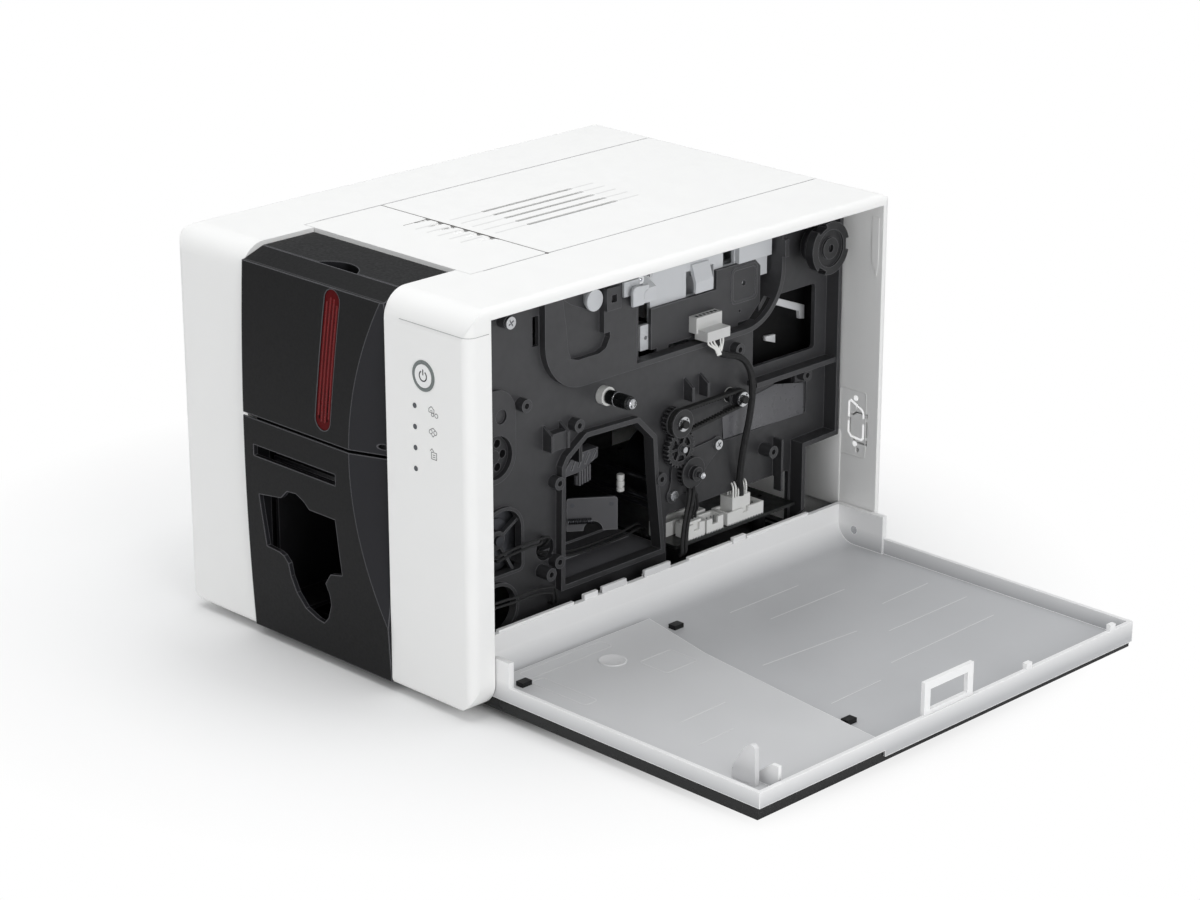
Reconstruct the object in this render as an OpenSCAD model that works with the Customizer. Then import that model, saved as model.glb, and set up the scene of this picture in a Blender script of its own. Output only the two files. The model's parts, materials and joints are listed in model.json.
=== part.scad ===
// Desktop plastic-card printer with its side service door lying open.
// Frame: X to the right seen from the front, Y to the back, Z up; the origin is the middle of the
// base tray's flat underside, and the rubber feet reach below it. All sizes are in millimetres.

/* [Body] */
// Width of the housing
body_w = 205; // [201:1:212]
// Depth of the housing, front to back
body_d = 285; // [281:1:300]
// Height from the underside of the base to the top
body_h = 191; // [189:1:200]
// Wall of the large mouldings
wall = 2.5; // [2:0.1:2.8]
// Radius of the front top edge and of the lower corners
edge_r = 13; // [8:0.5:14]
// Radius of the back top edge
back_r = 6; // [4:0.5:8]
// Radius of the upright edges
corner_r = 5; // [3.5:0.5:7]
// Height of the rubber feet below the base
foot_h = 4; // [3:0.5:8]
// Radius of the rubber feet
foot_r = 8; // [5:0.5:10]

/* [Front] */
// Width of the white strip left of the black panel
left_strip_w = 50.3; // [46:0.1:52]
// Width of the white strip right of the black panel
right_strip_w = 55.2; // [54:0.1:58]
// How far the black front stands proud in the middle
bulge = 3.3; // [2:0.1:4]
// Height at which the lower panel ends and the hood begins
split_z = 109.5; // [107:0.5:112]
// Width of the gap between the lower panel and the hood
split_gap = 1.6; // [1.2:0.1:2.4]
// Depth of the hood at its top
hood_d = 12.8; // [11:0.1:15]
// Width of the card slot in the lower panel
slot_w = 59; // [56:0.5:62]
// Height of the card slot
slot_h = 5.5; // [4:0.5:7]
// Width of the level window
window_w = 10.5; // [6:0.5:12]
// Length of the level window
window_l = 69; // [50:1:70]
// Diameter of the power button with its ring
button_d = 14.4; // [12:0.2:18]
// Spacing of the status lights
light_pitch = 10; // [8:0.5:11]

/* [Top] */
// Distance from the left side to the lid's seam
lid_inset_l = 43.1; // [40:0.1:46]
// Distance from the right side to the lid's seam
lid_inset_r = 45.4; // [44:0.1:48]
// Distance from the front to the white front cover
top_plate_d = 44; // [40:0.5:48]
// Distance from the front to the seam between front cover and lid
lid_front_d = 93; // [89:0.5:96]
// Gap round the lids and covers
seam = 0.4; // [0.3:0.1:0.7]
// Number of vent slots in the lid
vent_count = 5; // [3:1:7]
// Length of each vent slot
vent_l = 61; // [40:1:80]

/* [Side door] */
// Front edge of the door opening, from the front
door_front_d = 13.9; // [12:0.1:16]
// Back edge of the door opening, from the back
door_back_d = 6.1; // [6:0.1:8]
// Height of the white rim above the door opening
door_top_rim = 5; // [4:0.5:7]
// Distance of the hinge axis from the side of the housing
hinge_in = 10.5; // [9.5:0.1:11.5]
// Height of the hinge axis above the underside
hinge_z = 13; // [12:0.1:14]
// Thickness of the black outer panel
door_panel_t = 2.5; // [2:0.1:3]
// Depth of the rim round the door's inner face
door_rim = 8; // [5:0.5:9]
// Radius of the door's hinge pins
door_pin_r = 2; // [1.5:0.1:2.4]

/* [Chassis] */
// Distance from the housing's side to the face of the chassis plate
chassis_in = 32.5; // [32:0.1:34]
// Height of the flange round the chassis plate
flange_h = 8; // [6:0.5:8]
// Thickness of the chassis plates
plate_t = 2.5; // [2:0.1:3]
// Height of the card path above the underside
path_z = 102.5; // [101:0.5:104]

/* [Drive] */
// Gear module of the feed drive
gear_m = 0.7; // [0.6:0.05:0.75]
// Teeth on the spoked intermediate gear
idler_teeth = 26; // [24:1:28]
// Teeth on the gear behind the belt pulley
pulley_teeth = 18; // [16:1:20]
// Teeth on the motor gear
motor_teeth = 20; // [18:1:22]
// Width of the gears
gear_w = 3.2; // [2:0.2:3.6]
// Radius of the drive shafts
shaft_r = 2; // [1.5:0.1:2.2]
// Radius of the large belt pulley
big_pulley_r = 5.6; // [5:0.1:6]
// Radius of the small belt pulley
small_pulley_r = 3.6; // [3.2:0.1:4]
// Width of the timing belt
belt_w = 3; // [2:0.2:3.4]

/* [Hidden] */
$fn = 48;

// clearances
run_gap = 0.05;     // radial, shaft or pin in its bore
fit_gap = 0.3;      // between a moulding and the opening it fills
clear = 0.5;        // between a moving cover and what it passes
eps = 0.01;
far = 400;          // longer than any cut has to reach

// housing planes
front_y = -body_d / 2;
back_y = body_d / 2;
side_x = body_w / 2;
panel_x0 = -side_x + left_strip_w;
panel_x1 = side_x - right_strip_w;
lid_x0 = -side_x + lid_inset_l;
lid_x1 = side_x - lid_inset_r;
plate_back_y = front_y + top_plate_d;
lid_front_y = front_y + lid_front_d;
lid_hinge_y = back_y - 6;
lid_hinge_z = body_h - 6.5;
lid_pin_r = 1.5;
cheek_t = 3.5;

// black front
face_z0 = 0.5;
hood_z0 = split_z + split_gap / 2;
panel_z1 = split_z - split_gap / 2;
hood_top = body_h - 2;
hood_bevel = 4.2;                       // height of the bevel on the hood's top edge
hood_back_y = front_y + hood_d;
hood_hinge_y = front_y + 3.5;
hood_hinge_z = hood_z0 + 4;
hood_pin_r = 1.2;
card_x = -15.4;                         // middle of the card path, left of the middle
bulge_mid_z = body_h / 2;
bulge_r = (pow(bulge_mid_z, 2) + pow(bulge, 2)) / (2 * bulge);
facet_r = 550;                          // of the hollow facet on the right of the black front
facet_angle = 20.7;                     // between that facet and the front
facet_x = 24;
facet_z = 112;
window_x = 9.4;
window_z = hood_top - 39.5;
window_lean = 6.2;                      // degrees from upright

// power button and lights
button_x = side_x - 29.4;
button_z = 156.8;
light_x = side_x - 35.7;
light_z = 141.5;
light_r = 1.25;
button_travel = 0.8;

// side door opening and hinge
open_y0 = front_y + door_front_d;
open_y1 = back_y - door_back_d;
open_z1 = body_h - door_top_rim;
hinge_x = side_x - hinge_in;
door_y0 = open_y0 + clear;
door_y1 = open_y1 - clear;
door_z1 = open_z1 - clear;
door_front_step = 3;                    // the thick part of the outer panel
ear_t = 3;
base_x0 = -side_x + edge_r + 5;
base_x1 = side_x - 28.4;
base_y0 = front_y + 10;
base_y1 = back_y - 7;
flange_x0 = side_x - 22;                // where the curl under the shut door ends
tab_h = 2.6;                            // tallest tabs on that end
sweep_r = norm([hinge_x - flange_x0 + tab_h, hinge_z]) + clear; // room for them as the door turns
tray_rim = 7;                           // height of the tray's walls and rails

// chassis
plate_x = side_x - chassis_in;          // outer face of the right chassis plate
flange_x = plate_x + flange_h;
left_plate_x = -side_x + 40.5;
lip_h = 4;
lip_t = 2.5;
deck_z = path_z;
chassis_top = body_h - 9;

// gear train, each place as [y, z]
belt_axis = [18.7, path_z - 6.8];
idler_dist = gear_m * (idler_teeth + pulley_teeth) / 2 + 0.08;
idler_axis = belt_axis + idler_dist * [sin(15), -cos(15)];
motor_dist = gear_m * (idler_teeth + motor_teeth) / 2 + 0.08;
motor_axis = idler_axis + motor_dist * [sin(29), -cos(29)];
platen_axis = [61, path_z - 4.3];
cleaning_axis = [-27, path_z + 17];
gear_x = plate_x + 1.2;                 // back of the gears
pulley_x = gear_x + gear_w + 0.3;       // back of the belt pulley
belt_t = 1.2;
flange_t = 0.8;
supply_axis = [back_y - 26.5, body_h - 26];
takeup_axis = [front_y + 107.1, body_h - 22.6];
takeup_roll_r = 8;
head_z = body_h - 41;                   // floor of the print head's carrier
roller_x0 = card_x - 29;                // ends of the rubber rollers
roller_x1 = card_x + 29;

// ---------- shared shapes ----------

// Moves each edge of a counter-clockwise outline outwards by g
function edge_normal(a, b) = let (d = b - a) [d[1], -d[0]] / norm(d);
function grown(p, g) = [for (i = [0 : len(p) - 1])
    let (n = len(p), a = edge_normal(p[(i + n - 1) % n], p[i]), b = edge_normal(p[i], p[(i + 1) % n]))
    p[i] + g * (a + b) / (1 + a * b)];

// Rectangle with its own radius at each corner: [lower left, lower right, upper right, upper left]
module corner_rect(x0, y0, x1, y1, r) {
    polygon([[x0 + r[0], y0], [x1 - r[1], y0], [x1, y0 + r[1]], [x1, y1 - r[2]],
        [x1 - r[2], y1], [x0 + r[3], y1], [x0, y1 - r[3]], [x0, y0 + r[0]]]);
    if (r[0] > 0) translate([x0 + r[0], y0 + r[0]]) circle(r[0]);
    if (r[1] > 0) translate([x1 - r[1], y0 + r[1]]) circle(r[1]);
    if (r[2] > 0) translate([x1 - r[2], y1 - r[2]]) circle(r[2]);
    if (r[3] > 0) translate([x0 + r[3], y1 - r[3]]) circle(r[3]);
}

// Extrusions of a drawing in the YZ, XZ or XY plane between two planes
module along_x(x0, x1) { translate([x0, 0, 0]) rotate([90, 0, 90]) linear_extrude(x1 - x0) children(); }
module along_y(y0, y1) { translate([0, y1, 0]) rotate([90, 0, 0]) linear_extrude(y1 - y0) children(); }
module along_z(z0, z1) { translate([0, 0, z0]) linear_extrude(z1 - z0) children(); }
module block(a, b) { translate(a) cube(b - a); }
module rod_x(x0, x1, yz, r) { translate([x0, yz[0], yz[1]]) rotate([0, 90, 0]) cylinder(r = r, h = x1 - x0); }
module rod_y(y0, y1, xz, r) { translate([xz[0], y1, xz[1]]) rotate([90, 0, 0]) cylinder(r = r, h = y1 - y0); }
module rod_z(z0, z1, xy, r) { translate([xy[0], xy[1], z0]) cylinder(r = r, h = z1 - z0); }

// Slot with round ends, drawn about its middle and standing along the second axis
module round_slot(w, l) {
    square([w, l - w], center = true);
    for (s = [-1, 1]) translate([0, s * (l - w) / 2]) circle(w / 2);
}

// ---------- housing and base ----------

// Outer form of the housing, drawn in by t
module body_form(t) {
    intersection() {
        along_x(-side_x + t, side_x - t)
            corner_rect(front_y + t, t, back_y - t, body_h - t, [3, 3, back_r - t, edge_r - t]);
        along_y(front_y + t, back_y - t)
            corner_rect(-side_x + t, t, side_x - t, body_h - t, [edge_r - t, edge_r - t, 4, 4]);
        along_z(t, body_h - t)
            corner_rect(-side_x + t, front_y + t, side_x - t, back_y - t,
                [corner_r - t, corner_r - t, corner_r - t, corner_r - t]);
    }
}

module housing() {
    color("white") difference() {
        union() {
            difference() {
                body_form(0);
                body_form(wall);
                housing_openings();
            }
            intersection() {
                body_form(0);
                housing_webs();
            }
        }
        housing_holes();
    }
}

module housing_openings() {
    block([base_x0, base_y0, -1], [base_x1, base_y1, wall + 1]);
    block([base_x1 - eps, open_y0, -1], [side_x + 1, open_y1, open_z1]);
    block([panel_x0, front_y - 1, -1], [panel_x1, plate_back_y, body_h + 1]);
    block([lid_x0, plate_back_y - eps, body_h - 12], [lid_x1, back_y - wall - 1, body_h + 1]);
    along_x(lid_x0, lid_x1) polygon([[back_y - wall - 2, body_h + 1], [back_y - wall - 2, body_h - 13.5],
        [back_y - wall - eps, body_h - 13], [back_y, body_h - 10.5], [back_y + 1, body_h - 10.5],
        [back_y + 1, body_h + 1]]);
    for (i = [0 : 5]) block([-54 + 9 * i, back_y - 4, 60], [-50 + 9 * i, back_y + 1, 100]);
    block([socket_x0, back_y - 4, board_z + board_t], [socket_x1, back_y + 1, socket_z1]);
}

module housing_webs() {
    // cheeks beside the black front, which stop above the base tray
    for (x = [panel_x0 - wall, panel_x1]) {
        block([x, front_y, 0], [x + wall, base_y0 - fit_gap, body_h]);
        block([x, base_y0 - 1, tray_rim + fit_gap], [x + wall, plate_back_y, body_h]);
    }
    // ledges beside the lid
    block([lid_x0 - wall, plate_back_y, body_h - 9], [lid_x0, back_y - wall, body_h]);
    block([lid_x1, plate_back_y, body_h - 9], [lid_x1 + wall, back_y - wall, body_h]);
    block([lid_x0 - wall, plate_back_y - wall, body_h - 9], [panel_x0, plate_back_y, body_h]);
    block([panel_x1, plate_back_y - wall, body_h - 9], [lid_x1 + wall, plate_back_y, body_h]);
    for (x = [lid_x0 - cheek_t, lid_x1])
        block([x, lid_hinge_y - 6, lid_hinge_z - 6], [x + cheek_t, back_y - wall + eps, lid_hinge_z + 4]);
    // returns beside the door
    block([base_x1 + 2, open_y0 - wall, 0], [side_x, open_y0, open_z1 + 3]);
    block([base_x1 + 2, open_y1, 0], [side_x, open_y1 + wall, open_z1 + 3]);
    // posts for the button board
    for (p = [[button_x + 4, light_z - 30], [light_x - 4, button_z + 6]])
        rod_y(front_y + 1, button_board_y, p, 2.2);
    along_y(open_y1 - clear / 2, open_y1 + 1) polygon([[side_x - 7, body_h - 12], [side_x - 7, body_h - 34],
        [side_x - 3.5, body_h - 42], [side_x - 2.5, body_h - 36], [side_x - 2.5, body_h - 12]]);
}

module housing_holes() {
    for (y = [open_y0 - wall - 1, open_y1 - 1])
        rod_y(y, y + wall + 2, [hinge_x, hinge_z], door_pin_r);
    for (x = [lid_x0 - cheek_t - 1, lid_x1 - 1])
        rod_x(x, x + cheek_t + 2, [lid_hinge_y, lid_hinge_z], lid_pin_r);
    for (x = [panel_x0 - wall - 1, panel_x1 - 1])
        rod_x(x, x + wall + 2, [hood_hinge_y, hood_hinge_z], hood_pin_r);
    rod_y(front_y - 1, front_y + wall + 1, [button_x, button_z], button_d / 2);
    for (i = [0 : 3])
        rod_y(front_y - 1, front_y + wall + 1, [light_x, light_z - i * light_pitch], light_r);
    // break-out for an optional connector in the wall behind the door
    translate([0, open_y1 - eps, 0]) rotate([-90, 0, 0]) linear_extrude(wall + 1) {
        for (z = [55, 78]) translate([side_x - 12.8, -z]) circle(1.2);
        difference() {
            polygon([for (p = grown(breakout, 0.5)) [p[0], -p[1]]]);
            polygon([for (p = grown(breakout, -0.5)) [p[0], -p[1]]]);
            for (z = [62, 72]) translate([side_x - 13, -z]) square([16, 1.5], center = true);
        }
    }
}
breakout = [[side_x - 18, 62], [side_x - 14, 59], [side_x - 7, 59], [side_x - 7, 75], [side_x - 14, 75],
    [side_x - 18, 72]];

module base_tray() {
    color("dimgray") difference() {
        union() {
            block([base_x0 + fit_gap, base_y0 + fit_gap, 0], [base_x1 - fit_gap, base_y1 - fit_gap, wall]);
            foot_places() cylinder(r = foot_r + 2.5, h = 4.5);
            // ledges that lie on the housing's floor
            block([base_x0 - 4, base_y0 + 12, wall], [base_x0 + 2, base_y1 - 12, wall + 1.5]);
            block([base_x0 + 10, base_y1 - 3, wall], [base_x1 - 10, base_y1 + 1.4, wall + 1.5]);
            // walls, and rails that carry the chassis plates
            for (x = [base_x0 + fit_gap, left_plate_x, plate_x - plate_t])
                block([x, base_y0 + 12, 0], [x + wall, base_y1 - 12, tray_rim]);
            for (y = [base_y0 + 12, base_y1 - 14])
                block([base_x0 + fit_gap, y, 0], [base_x1 - fit_gap, y + wall, tray_rim]);
            for (p = board_posts) rod_z(0, board_z, p, 3.5);
            for (x = [card_x - 26, card_x + 26], y = [front_y + 20, front_y + 66]) rod_z(0, hopper_z, [x, y], 3);
        }
        translate([0, 0, -eps]) foot_places() cylinder(r = foot_r + fit_gap, h = 1.5 + eps);
        for (i = [0 : 9]) along_z(-1, wall + 1)
            translate([-40 + 9 * i, 30]) round_slot(3.5, 46);
    }
}

module foot_places() {
    for (x = [base_x0 + 16, base_x1 - 16], y = [base_y0 + 16 + 12, base_y1 - 16 - 12])
        translate([x, y, 0]) children();
}

module rubber_feet() {
    color("black") foot_places() rotate_extrude()
        polygon([[0, -foot_h], [foot_r - 1.2, -foot_h], [foot_r, -foot_h + 1.2], [foot_r, 1.5], [0, 1.5]]);
}

// ---------- black front ----------

// Block behind the bulged and facetted front, from x0 to x1 and z0 to z1, drawn in by t
module face_block(x0, x1, z0, z1, back, t) {
    n = [sin(facet_angle), -cos(facet_angle)];
    difference() {
        along_x(x0, x1) intersection() {
            translate([front_y - bulge + bulge_r, bulge_mid_z]) circle(bulge_r - t, $fn = 720);
            translate([front_y - 10, z0]) square([back - front_y + 10, z1 - z0]);
        }
        translate([facet_x + n[0] * (facet_r - t), front_y - bulge + n[1] * (facet_r - t), facet_z])
            rotate([0, 0, facet_angle]) rotate([0, 90, 0])
                cylinder(r = facet_r, h = 2 * far, center = true, $fn = 360);
    }
}

// Lugs that reach across the gap to the cheeks on both sides
module side_lugs(y, za, zb) {
    for (z = [za, zb]) {
        block([panel_x0, y, z], [panel_x0 + fit_gap + 1, y + 3, z + 3]);
        block([panel_x1 - fit_gap - 1, y, z], [panel_x1, y + 3, z + 3]);
    }
}

module front_panel() {
    x0 = panel_x0 + fit_gap;
    x1 = panel_x1 - fit_gap;
    color([0.13, 0.13, 0.13]) difference() {
        union() {
            face_block(x0, x1, face_z0, panel_z1, front_y + 10, 0);
            side_lugs(front_y + 6, 30, 80);
        }
        face_block(x0 + wall, x1 - wall, face_z0 + wall, panel_z1 + 1, front_y + 11, wall);
        // the top edge is thinned to a lip so that the hood can turn behind it
        face_block(x0 - 1, x1 + 1, panel_z1 - 4.5, panel_z1 + 1, front_y + 11, 0.8);
        along_y(front_y - 10, front_y + 5) {
            translate([card_x - slot_w / 2, path_z - 12.4]) square([slot_w, slot_h]);
            polygon(hopper_outline);
        }
    }
}
// hand opening of the card hopper, a stepped outline that lets the cards be pinched
hopper_outline = [for (p = [[0, 0], [16.4, 2.3], [21, 6.8], [27.5, 7.4], [33, 5], [37, 1.8], [55.4, 1.8],
    [58.6, -25.3], [50, -27.2], [46, -32.9], [48.5, -38], [49.2, -43.2], [46.5, -50.5], [43, -54.2],
    [38, -53.5], [30, -50.4], [24, -44], [20.5, -36.5], [19.2, -30.4], [16, -27.2], [12.7, -26.1],
    [3.8, -25.5]]) p + [card_x - 27, 71]];

// Solid form of the hood with its bevelled top edge, drawn in by t
module hood_form(t) {
    z1 = hood_top - t;
    y1 = hood_back_y - seam / 2 + 2 * t;
    difference() {
        face_block(panel_x0 + fit_gap + t, panel_x1 - fit_gap - t, hood_z0 - t, z1, y1, t);
        along_x(panel_x0 - 1, panel_x1 + 1) polygon([[front_y - 10, z1 - hood_bevel - 1.2],
            [front_y + 1, z1 - hood_bevel], [hood_back_y, z1], [y1, z1 + 1], [front_y - 10, z1 + 1]]);
    }
}

module feeder_hood() {
    color([0.13, 0.13, 0.13]) difference() {
        hood_form(0);
        hood_form(wall);
        rod_x(panel_x0 - 1, panel_x1 + 1, [hood_hinge_y, hood_hinge_z], hood_pin_r + run_gap);
        window_slot(front_y - 10, front_y + 5);
    }
}

// Leaning slot with round ends through the hood
module window_slot(y0, y1) {
    translate([window_x, 0, window_z]) rotate([0, window_lean, 0])
        along_y(y0, y1) round_slot(window_w, window_l);
}

module level_window() {
    color([0.5, 0.05, 0.08, 0.8]) difference() {
        intersection() {
            window_slot(front_y - 10, front_y + 5);
            along_x(0, 20) difference() {
                translate([front_y - bulge + bulge_r, bulge_mid_z]) circle(bulge_r - 0.4, $fn = 720);
                translate([front_y - bulge + bulge_r, bulge_mid_z]) circle(bulge_r - wall, $fn = 720);
            }
        }
        // upright flutes in its face
        translate([window_x, front_y - bulge + 0.2, window_z]) rotate([0, window_lean, 0])
            for (x = [-2.7, -0.9, 0.9, 2.7]) block([x - 0.25, -2, 5 - window_l / 2], [x + 0.25, 0.9, window_l / 2 - 5]);
    }
}

module hood_hinge_pins() {
    color("silver") {
        rod_x(panel_x0 - wall, panel_x0 + fit_gap + wall, [hood_hinge_y, hood_hinge_z], hood_pin_r);
        rod_x(panel_x1 - fit_gap - wall, panel_x1 + wall, [hood_hinge_y, hood_hinge_z], hood_pin_r);
    }
}

// ---------- top ----------

module top_plate() {
    color([0.14, 0.14, 0.14]) difference() {
        union() {
            block([panel_x0 + fit_gap, hood_back_y + seam / 2, hood_top - wall],
                [panel_x1 - fit_gap, plate_back_y - fit_gap, hood_top]);
            for (x = [panel_x0 + fit_gap, panel_x1 - fit_gap - 2])
                block([x, hood_back_y + seam / 2, hood_top - 12], [x + 2, plate_back_y - fit_gap, hood_top]);
            side_lugs(hood_back_y + 12, hood_top - 12, hood_top - 8);
            // floor of the thumb hollow
            rod_z(hood_top - 12, hood_top - wall, [0.8, front_y + 5.1], 18);
        }
        rod_z(hood_top - 10.5, hood_top + 1, [0.8, front_y + 5.1], 15.9);
        block([-far / 4, front_y - 20, hood_top - 20], [far / 4, hood_back_y + seam / 2, hood_top + 1]);
    }
}

module front_top_cover() {
    y0 = plate_back_y + seam / 2;
    y1 = lid_front_y - seam / 2;
    color("white") difference() {
        union() {
            along_z(body_h - wall, body_h)
                corner_rect(lid_x0 + seam, y0, lid_x1 - seam, y1, [0, 0, 0, 0]);
            along_z(body_h - 8, body_h) {
                translate([lid_x0 + seam, y0]) square([wall, y1 - y0]);
                translate([lid_x1 - seam - wall, y0]) square([wall, y1 - y0]);
                translate([lid_x0 + seam, y0]) square([lid_x1 - lid_x0 - 2 * seam, wall]);
            }
            // lugs that rest against the ledges of the housing
            for (y = [y0 + 8, y1 - 12]) block([lid_x0, y, body_h - 8], [lid_x1, y + 3, body_h - 6]);
        }
        // finger grooves that run down to the lid's edge
        for (i = [0 : 5]) translate([-24.5 + 9 * i, y1, body_h + 1.2])
            rotate([-8, 0, 0]) translate([0, -17, 0]) rotate([-90, 0, 0]) cylinder(r = 2.6, h = 20);
    }
}

// Section of the lid from front to back, drawn in by t
module lid_section(t) {
    corner_rect(lid_front_y + seam / 2 + t, body_h - 10 - (t > 0 ? 5 : 0), back_y - t, body_h - t,
        [0, 0, back_r - t, 0]);
}

module ribbon_lid() {
    x0 = lid_x0 + seam;
    x1 = lid_x1 - seam;
    color("white") difference() {
        union() {
            difference() {
                along_x(x0, x1) lid_section(0);
                along_x(x0 + wall, x1 - wall) lid_section(wall);
                // the sides and front stop short of the covers below them
                block([x0 - 1, back_y - 8.5, body_h - 11], [x1 + 1, back_y - wall - eps, body_h - 9.2]);
            }
            for (x = [x0, x1 - cheek_t]) rod_x(x, x + cheek_t, [lid_hinge_y, lid_hinge_z], 3.4);
        }
        for (x = [x0 - 1, x1 - cheek_t - 1])
            rod_x(x, x + cheek_t + 2, [lid_hinge_y, lid_hinge_z], lid_pin_r + run_gap);
        // vent slots
        for (i = [0 : vent_count - 1])
            along_z(body_h - wall - 1, body_h + 1) translate([(i - (vent_count - 1) / 2) * 7.9, 7])
                round_slot(2.2, vent_l);
        // finger notch in the front edge
        block([-26, lid_front_y - 1, body_h - 11], [23, lid_front_y + 4.5, body_h - 3]);
    }
}

module lid_hinge_pins() {
    color("silver") {
        rod_x(lid_x0 - cheek_t, lid_x0 + seam + cheek_t, [lid_hinge_y, lid_hinge_z], lid_pin_r);
        rod_x(lid_x1 - seam - cheek_t, lid_x1 + cheek_t, [lid_hinge_y, lid_hinge_z], lid_pin_r);
    }
}

// ---------- print head, carried by the lid ----------

head_x0 = card_x - 32;
head_x1 = lid_x1 - seam - wall - 0.1;
head_y0 = platen_axis[0] - 26;
head_y1 = platen_axis[0] + 26;
head_seat_z = path_z + 13.5;

module printhead_carrier() {
    z1 = body_h - wall;
    color([0.8, 0.81, 0.82]) difference() {
        union() {
            block([head_x0, head_y0, head_z], [head_x1, head_y1, head_z + 3]);
            for (x = [head_x0, head_x1 - 3]) along_x(x, x + 3)
                polygon([[head_y0, z1], [head_y0, head_z], [platen_axis[0] - 8, head_seat_z],
                    [platen_axis[0] + 8, head_seat_z], [head_y1, head_z], [head_y1, z1]]);
            for (y = [head_y0, head_y1 - 3]) block([head_x0, y, head_z], [head_x1, y + 3, z1]);
            block([head_x0, platen_axis[0] - 8, head_seat_z], [head_x1, platen_axis[0] + 8, head_seat_z + 3]);
        }
        block([head_x1 - 5, platen_axis[0] - 12, head_z + 8], [head_x1 + 1, platen_axis[0] + 4, head_z + 22]);
        block([head_x1 - 5, platen_axis[0] + 10, head_z + 10], [head_x1 + 1, platen_axis[0] + 20, head_z + 20]);
    }
}

module printhead() {
    y = platen_axis[0];
    color([0.35, 0.35, 0.37]) difference() {
        union() {
            block([head_x0 + 2, y - 7, path_z + 5.5], [head_x1 - 2, y + 7, head_seat_z]);
            along_x(head_x0 + 4, head_x1 - 4) polygon([[y - 6, path_z + 5.5], [y - 1.5, path_z + 1.7],
                [y + 1.5, path_z + 1.7], [y + 4, path_z + 5.5]]);
        }
        for (i = [0 : 6]) block([head_x0 + 8 + 12 * i, y - 8, path_z + 7.5],
            [head_x0 + 14 + 12 * i, y - 5, path_z + 11.5]);
    }
}

// ---------- chassis ----------

chassis_y0 = front_y + 30.5;
chassis_y1 = back_y - 7.5;
step_y = back_y - 32.2;
chassis_outline = [[chassis_y0, tray_rim], [step_y, tray_rim], [step_y, 60.4], [chassis_y1, 61],
    [chassis_y1, chassis_top], [chassis_y0, chassis_top]];
window_outline = [[-56, 32], [9.5, 32], [5.2, 69], [3.6, 90.6], [-7.4, 101.5], [-40.8, 102.5], [-52.8, 94.6],
    [-55.2, 91]];
// screw bosses, as [y, z, height]
corner_screw = [-92, chassis_top - 11.2];
bosses = [[-47, 110, 5], [-60, 84.5, 5], [-60.2, 45, 5], [9, 68.5, 5], [64.2, 121.5, 4.4], [86.4, 63.5, 7.8],
    [corner_screw[0], corner_screw[1], 5], [114, 96.8, 5], [-81, 128, 5], [-68.5, 41.8, 7.8]];

bay_y0 = -65.7;
bay_y1 = 94.2;
bay_z0 = chassis_top - 50.8;
bay_gap_y = -3;                         // front end of the part that is open right through
step_end_y = -8;                        // back end of the raised part
module bay_shape(g) {
    corner_rect(bay_y0 - g, bay_z0 - g, bay_y1 + g, chassis_top + 20, [22 + g, 26 + g, 0, 0]);
}
// the part of the bay that is open right through
module bay_opening() {
    corner_rect(bay_gap_y, bay_z0, bay_y1, chassis_top + 20, [2, 26, 0, 0]);
}
// hollow in the raised part, and the notch that the spool's spindle drops into
hollow_outline = [for (p = [[-32.5, 50], [-28.6, 26], [-27.4, 14], [-25.5, 9.6], [-21, 8.2], [-7, 8.2], [-2.6, 10],
    [0, 14.5], [0, 60]]) p + [-26, bay_z0 + 2.8]];
notch_outline = [for (p = [[-17, 30], [-17, 3], [-12.4, 0], [-2, -4.6], [4, -6.6], [4, 30]]) p + takeup_axis];
// feeder features at the front end, as [y, z]
wheel_axis = [-95.9, 64.5];
disc_axis = [-98.8, 106.5];
ring_axis = [-98, 30.5];
wire_hole = [-65.3, 52];
module wheel_opening(g) {
    corner_rect(wheel_axis[0] - 10 - g, wheel_axis[1] - 16.5 - g, wheel_axis[0] + 13.5 + g,
        wheel_axis[1] + 14.5 + g, [2 + g, 2 + g, 11 + g, 11 + g]);
}
// raised ground behind the feeder disc
module disc_ground() {
    for (z = [0, 19.5]) translate(disc_axis + [0, z]) circle(13);
    translate(disc_axis + [-13, 0]) square([26, 19.5]);
}
// Pointed gusset in a plane across the plate, rising from za to zb
module gusset(y, za, zb) {
    along_y(y, y + 1.5) polygon([[plate_x - eps, za], [plate_x + 6, za], [plate_x + 6, zb - 4],
        [plate_x - eps, zb]]);
}
board_window = [17, 19, step_y - 3.8, 47];
module chassis_windows() {
    polygon(window_outline);
    corner_rect(chassis_y1 - 57, 108, chassis_y1 - 11, 142, [2, 2, 2, 2]);
    corner_rect(94, 91, 110, 98, [1, 1, 1, 1]);
    translate([bay_y0 - 4.8, chassis_top - 21.5]) square([4, 14.5], center = true);
    translate(disc_axis) circle(10.5);
    translate(ring_axis) circle(12);
    translate(wire_hole) circle(5.8);
    corner_rect(board_window[0], board_window[1], board_window[2], board_window[3], [2, 2, 2, 2]);
}

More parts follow.
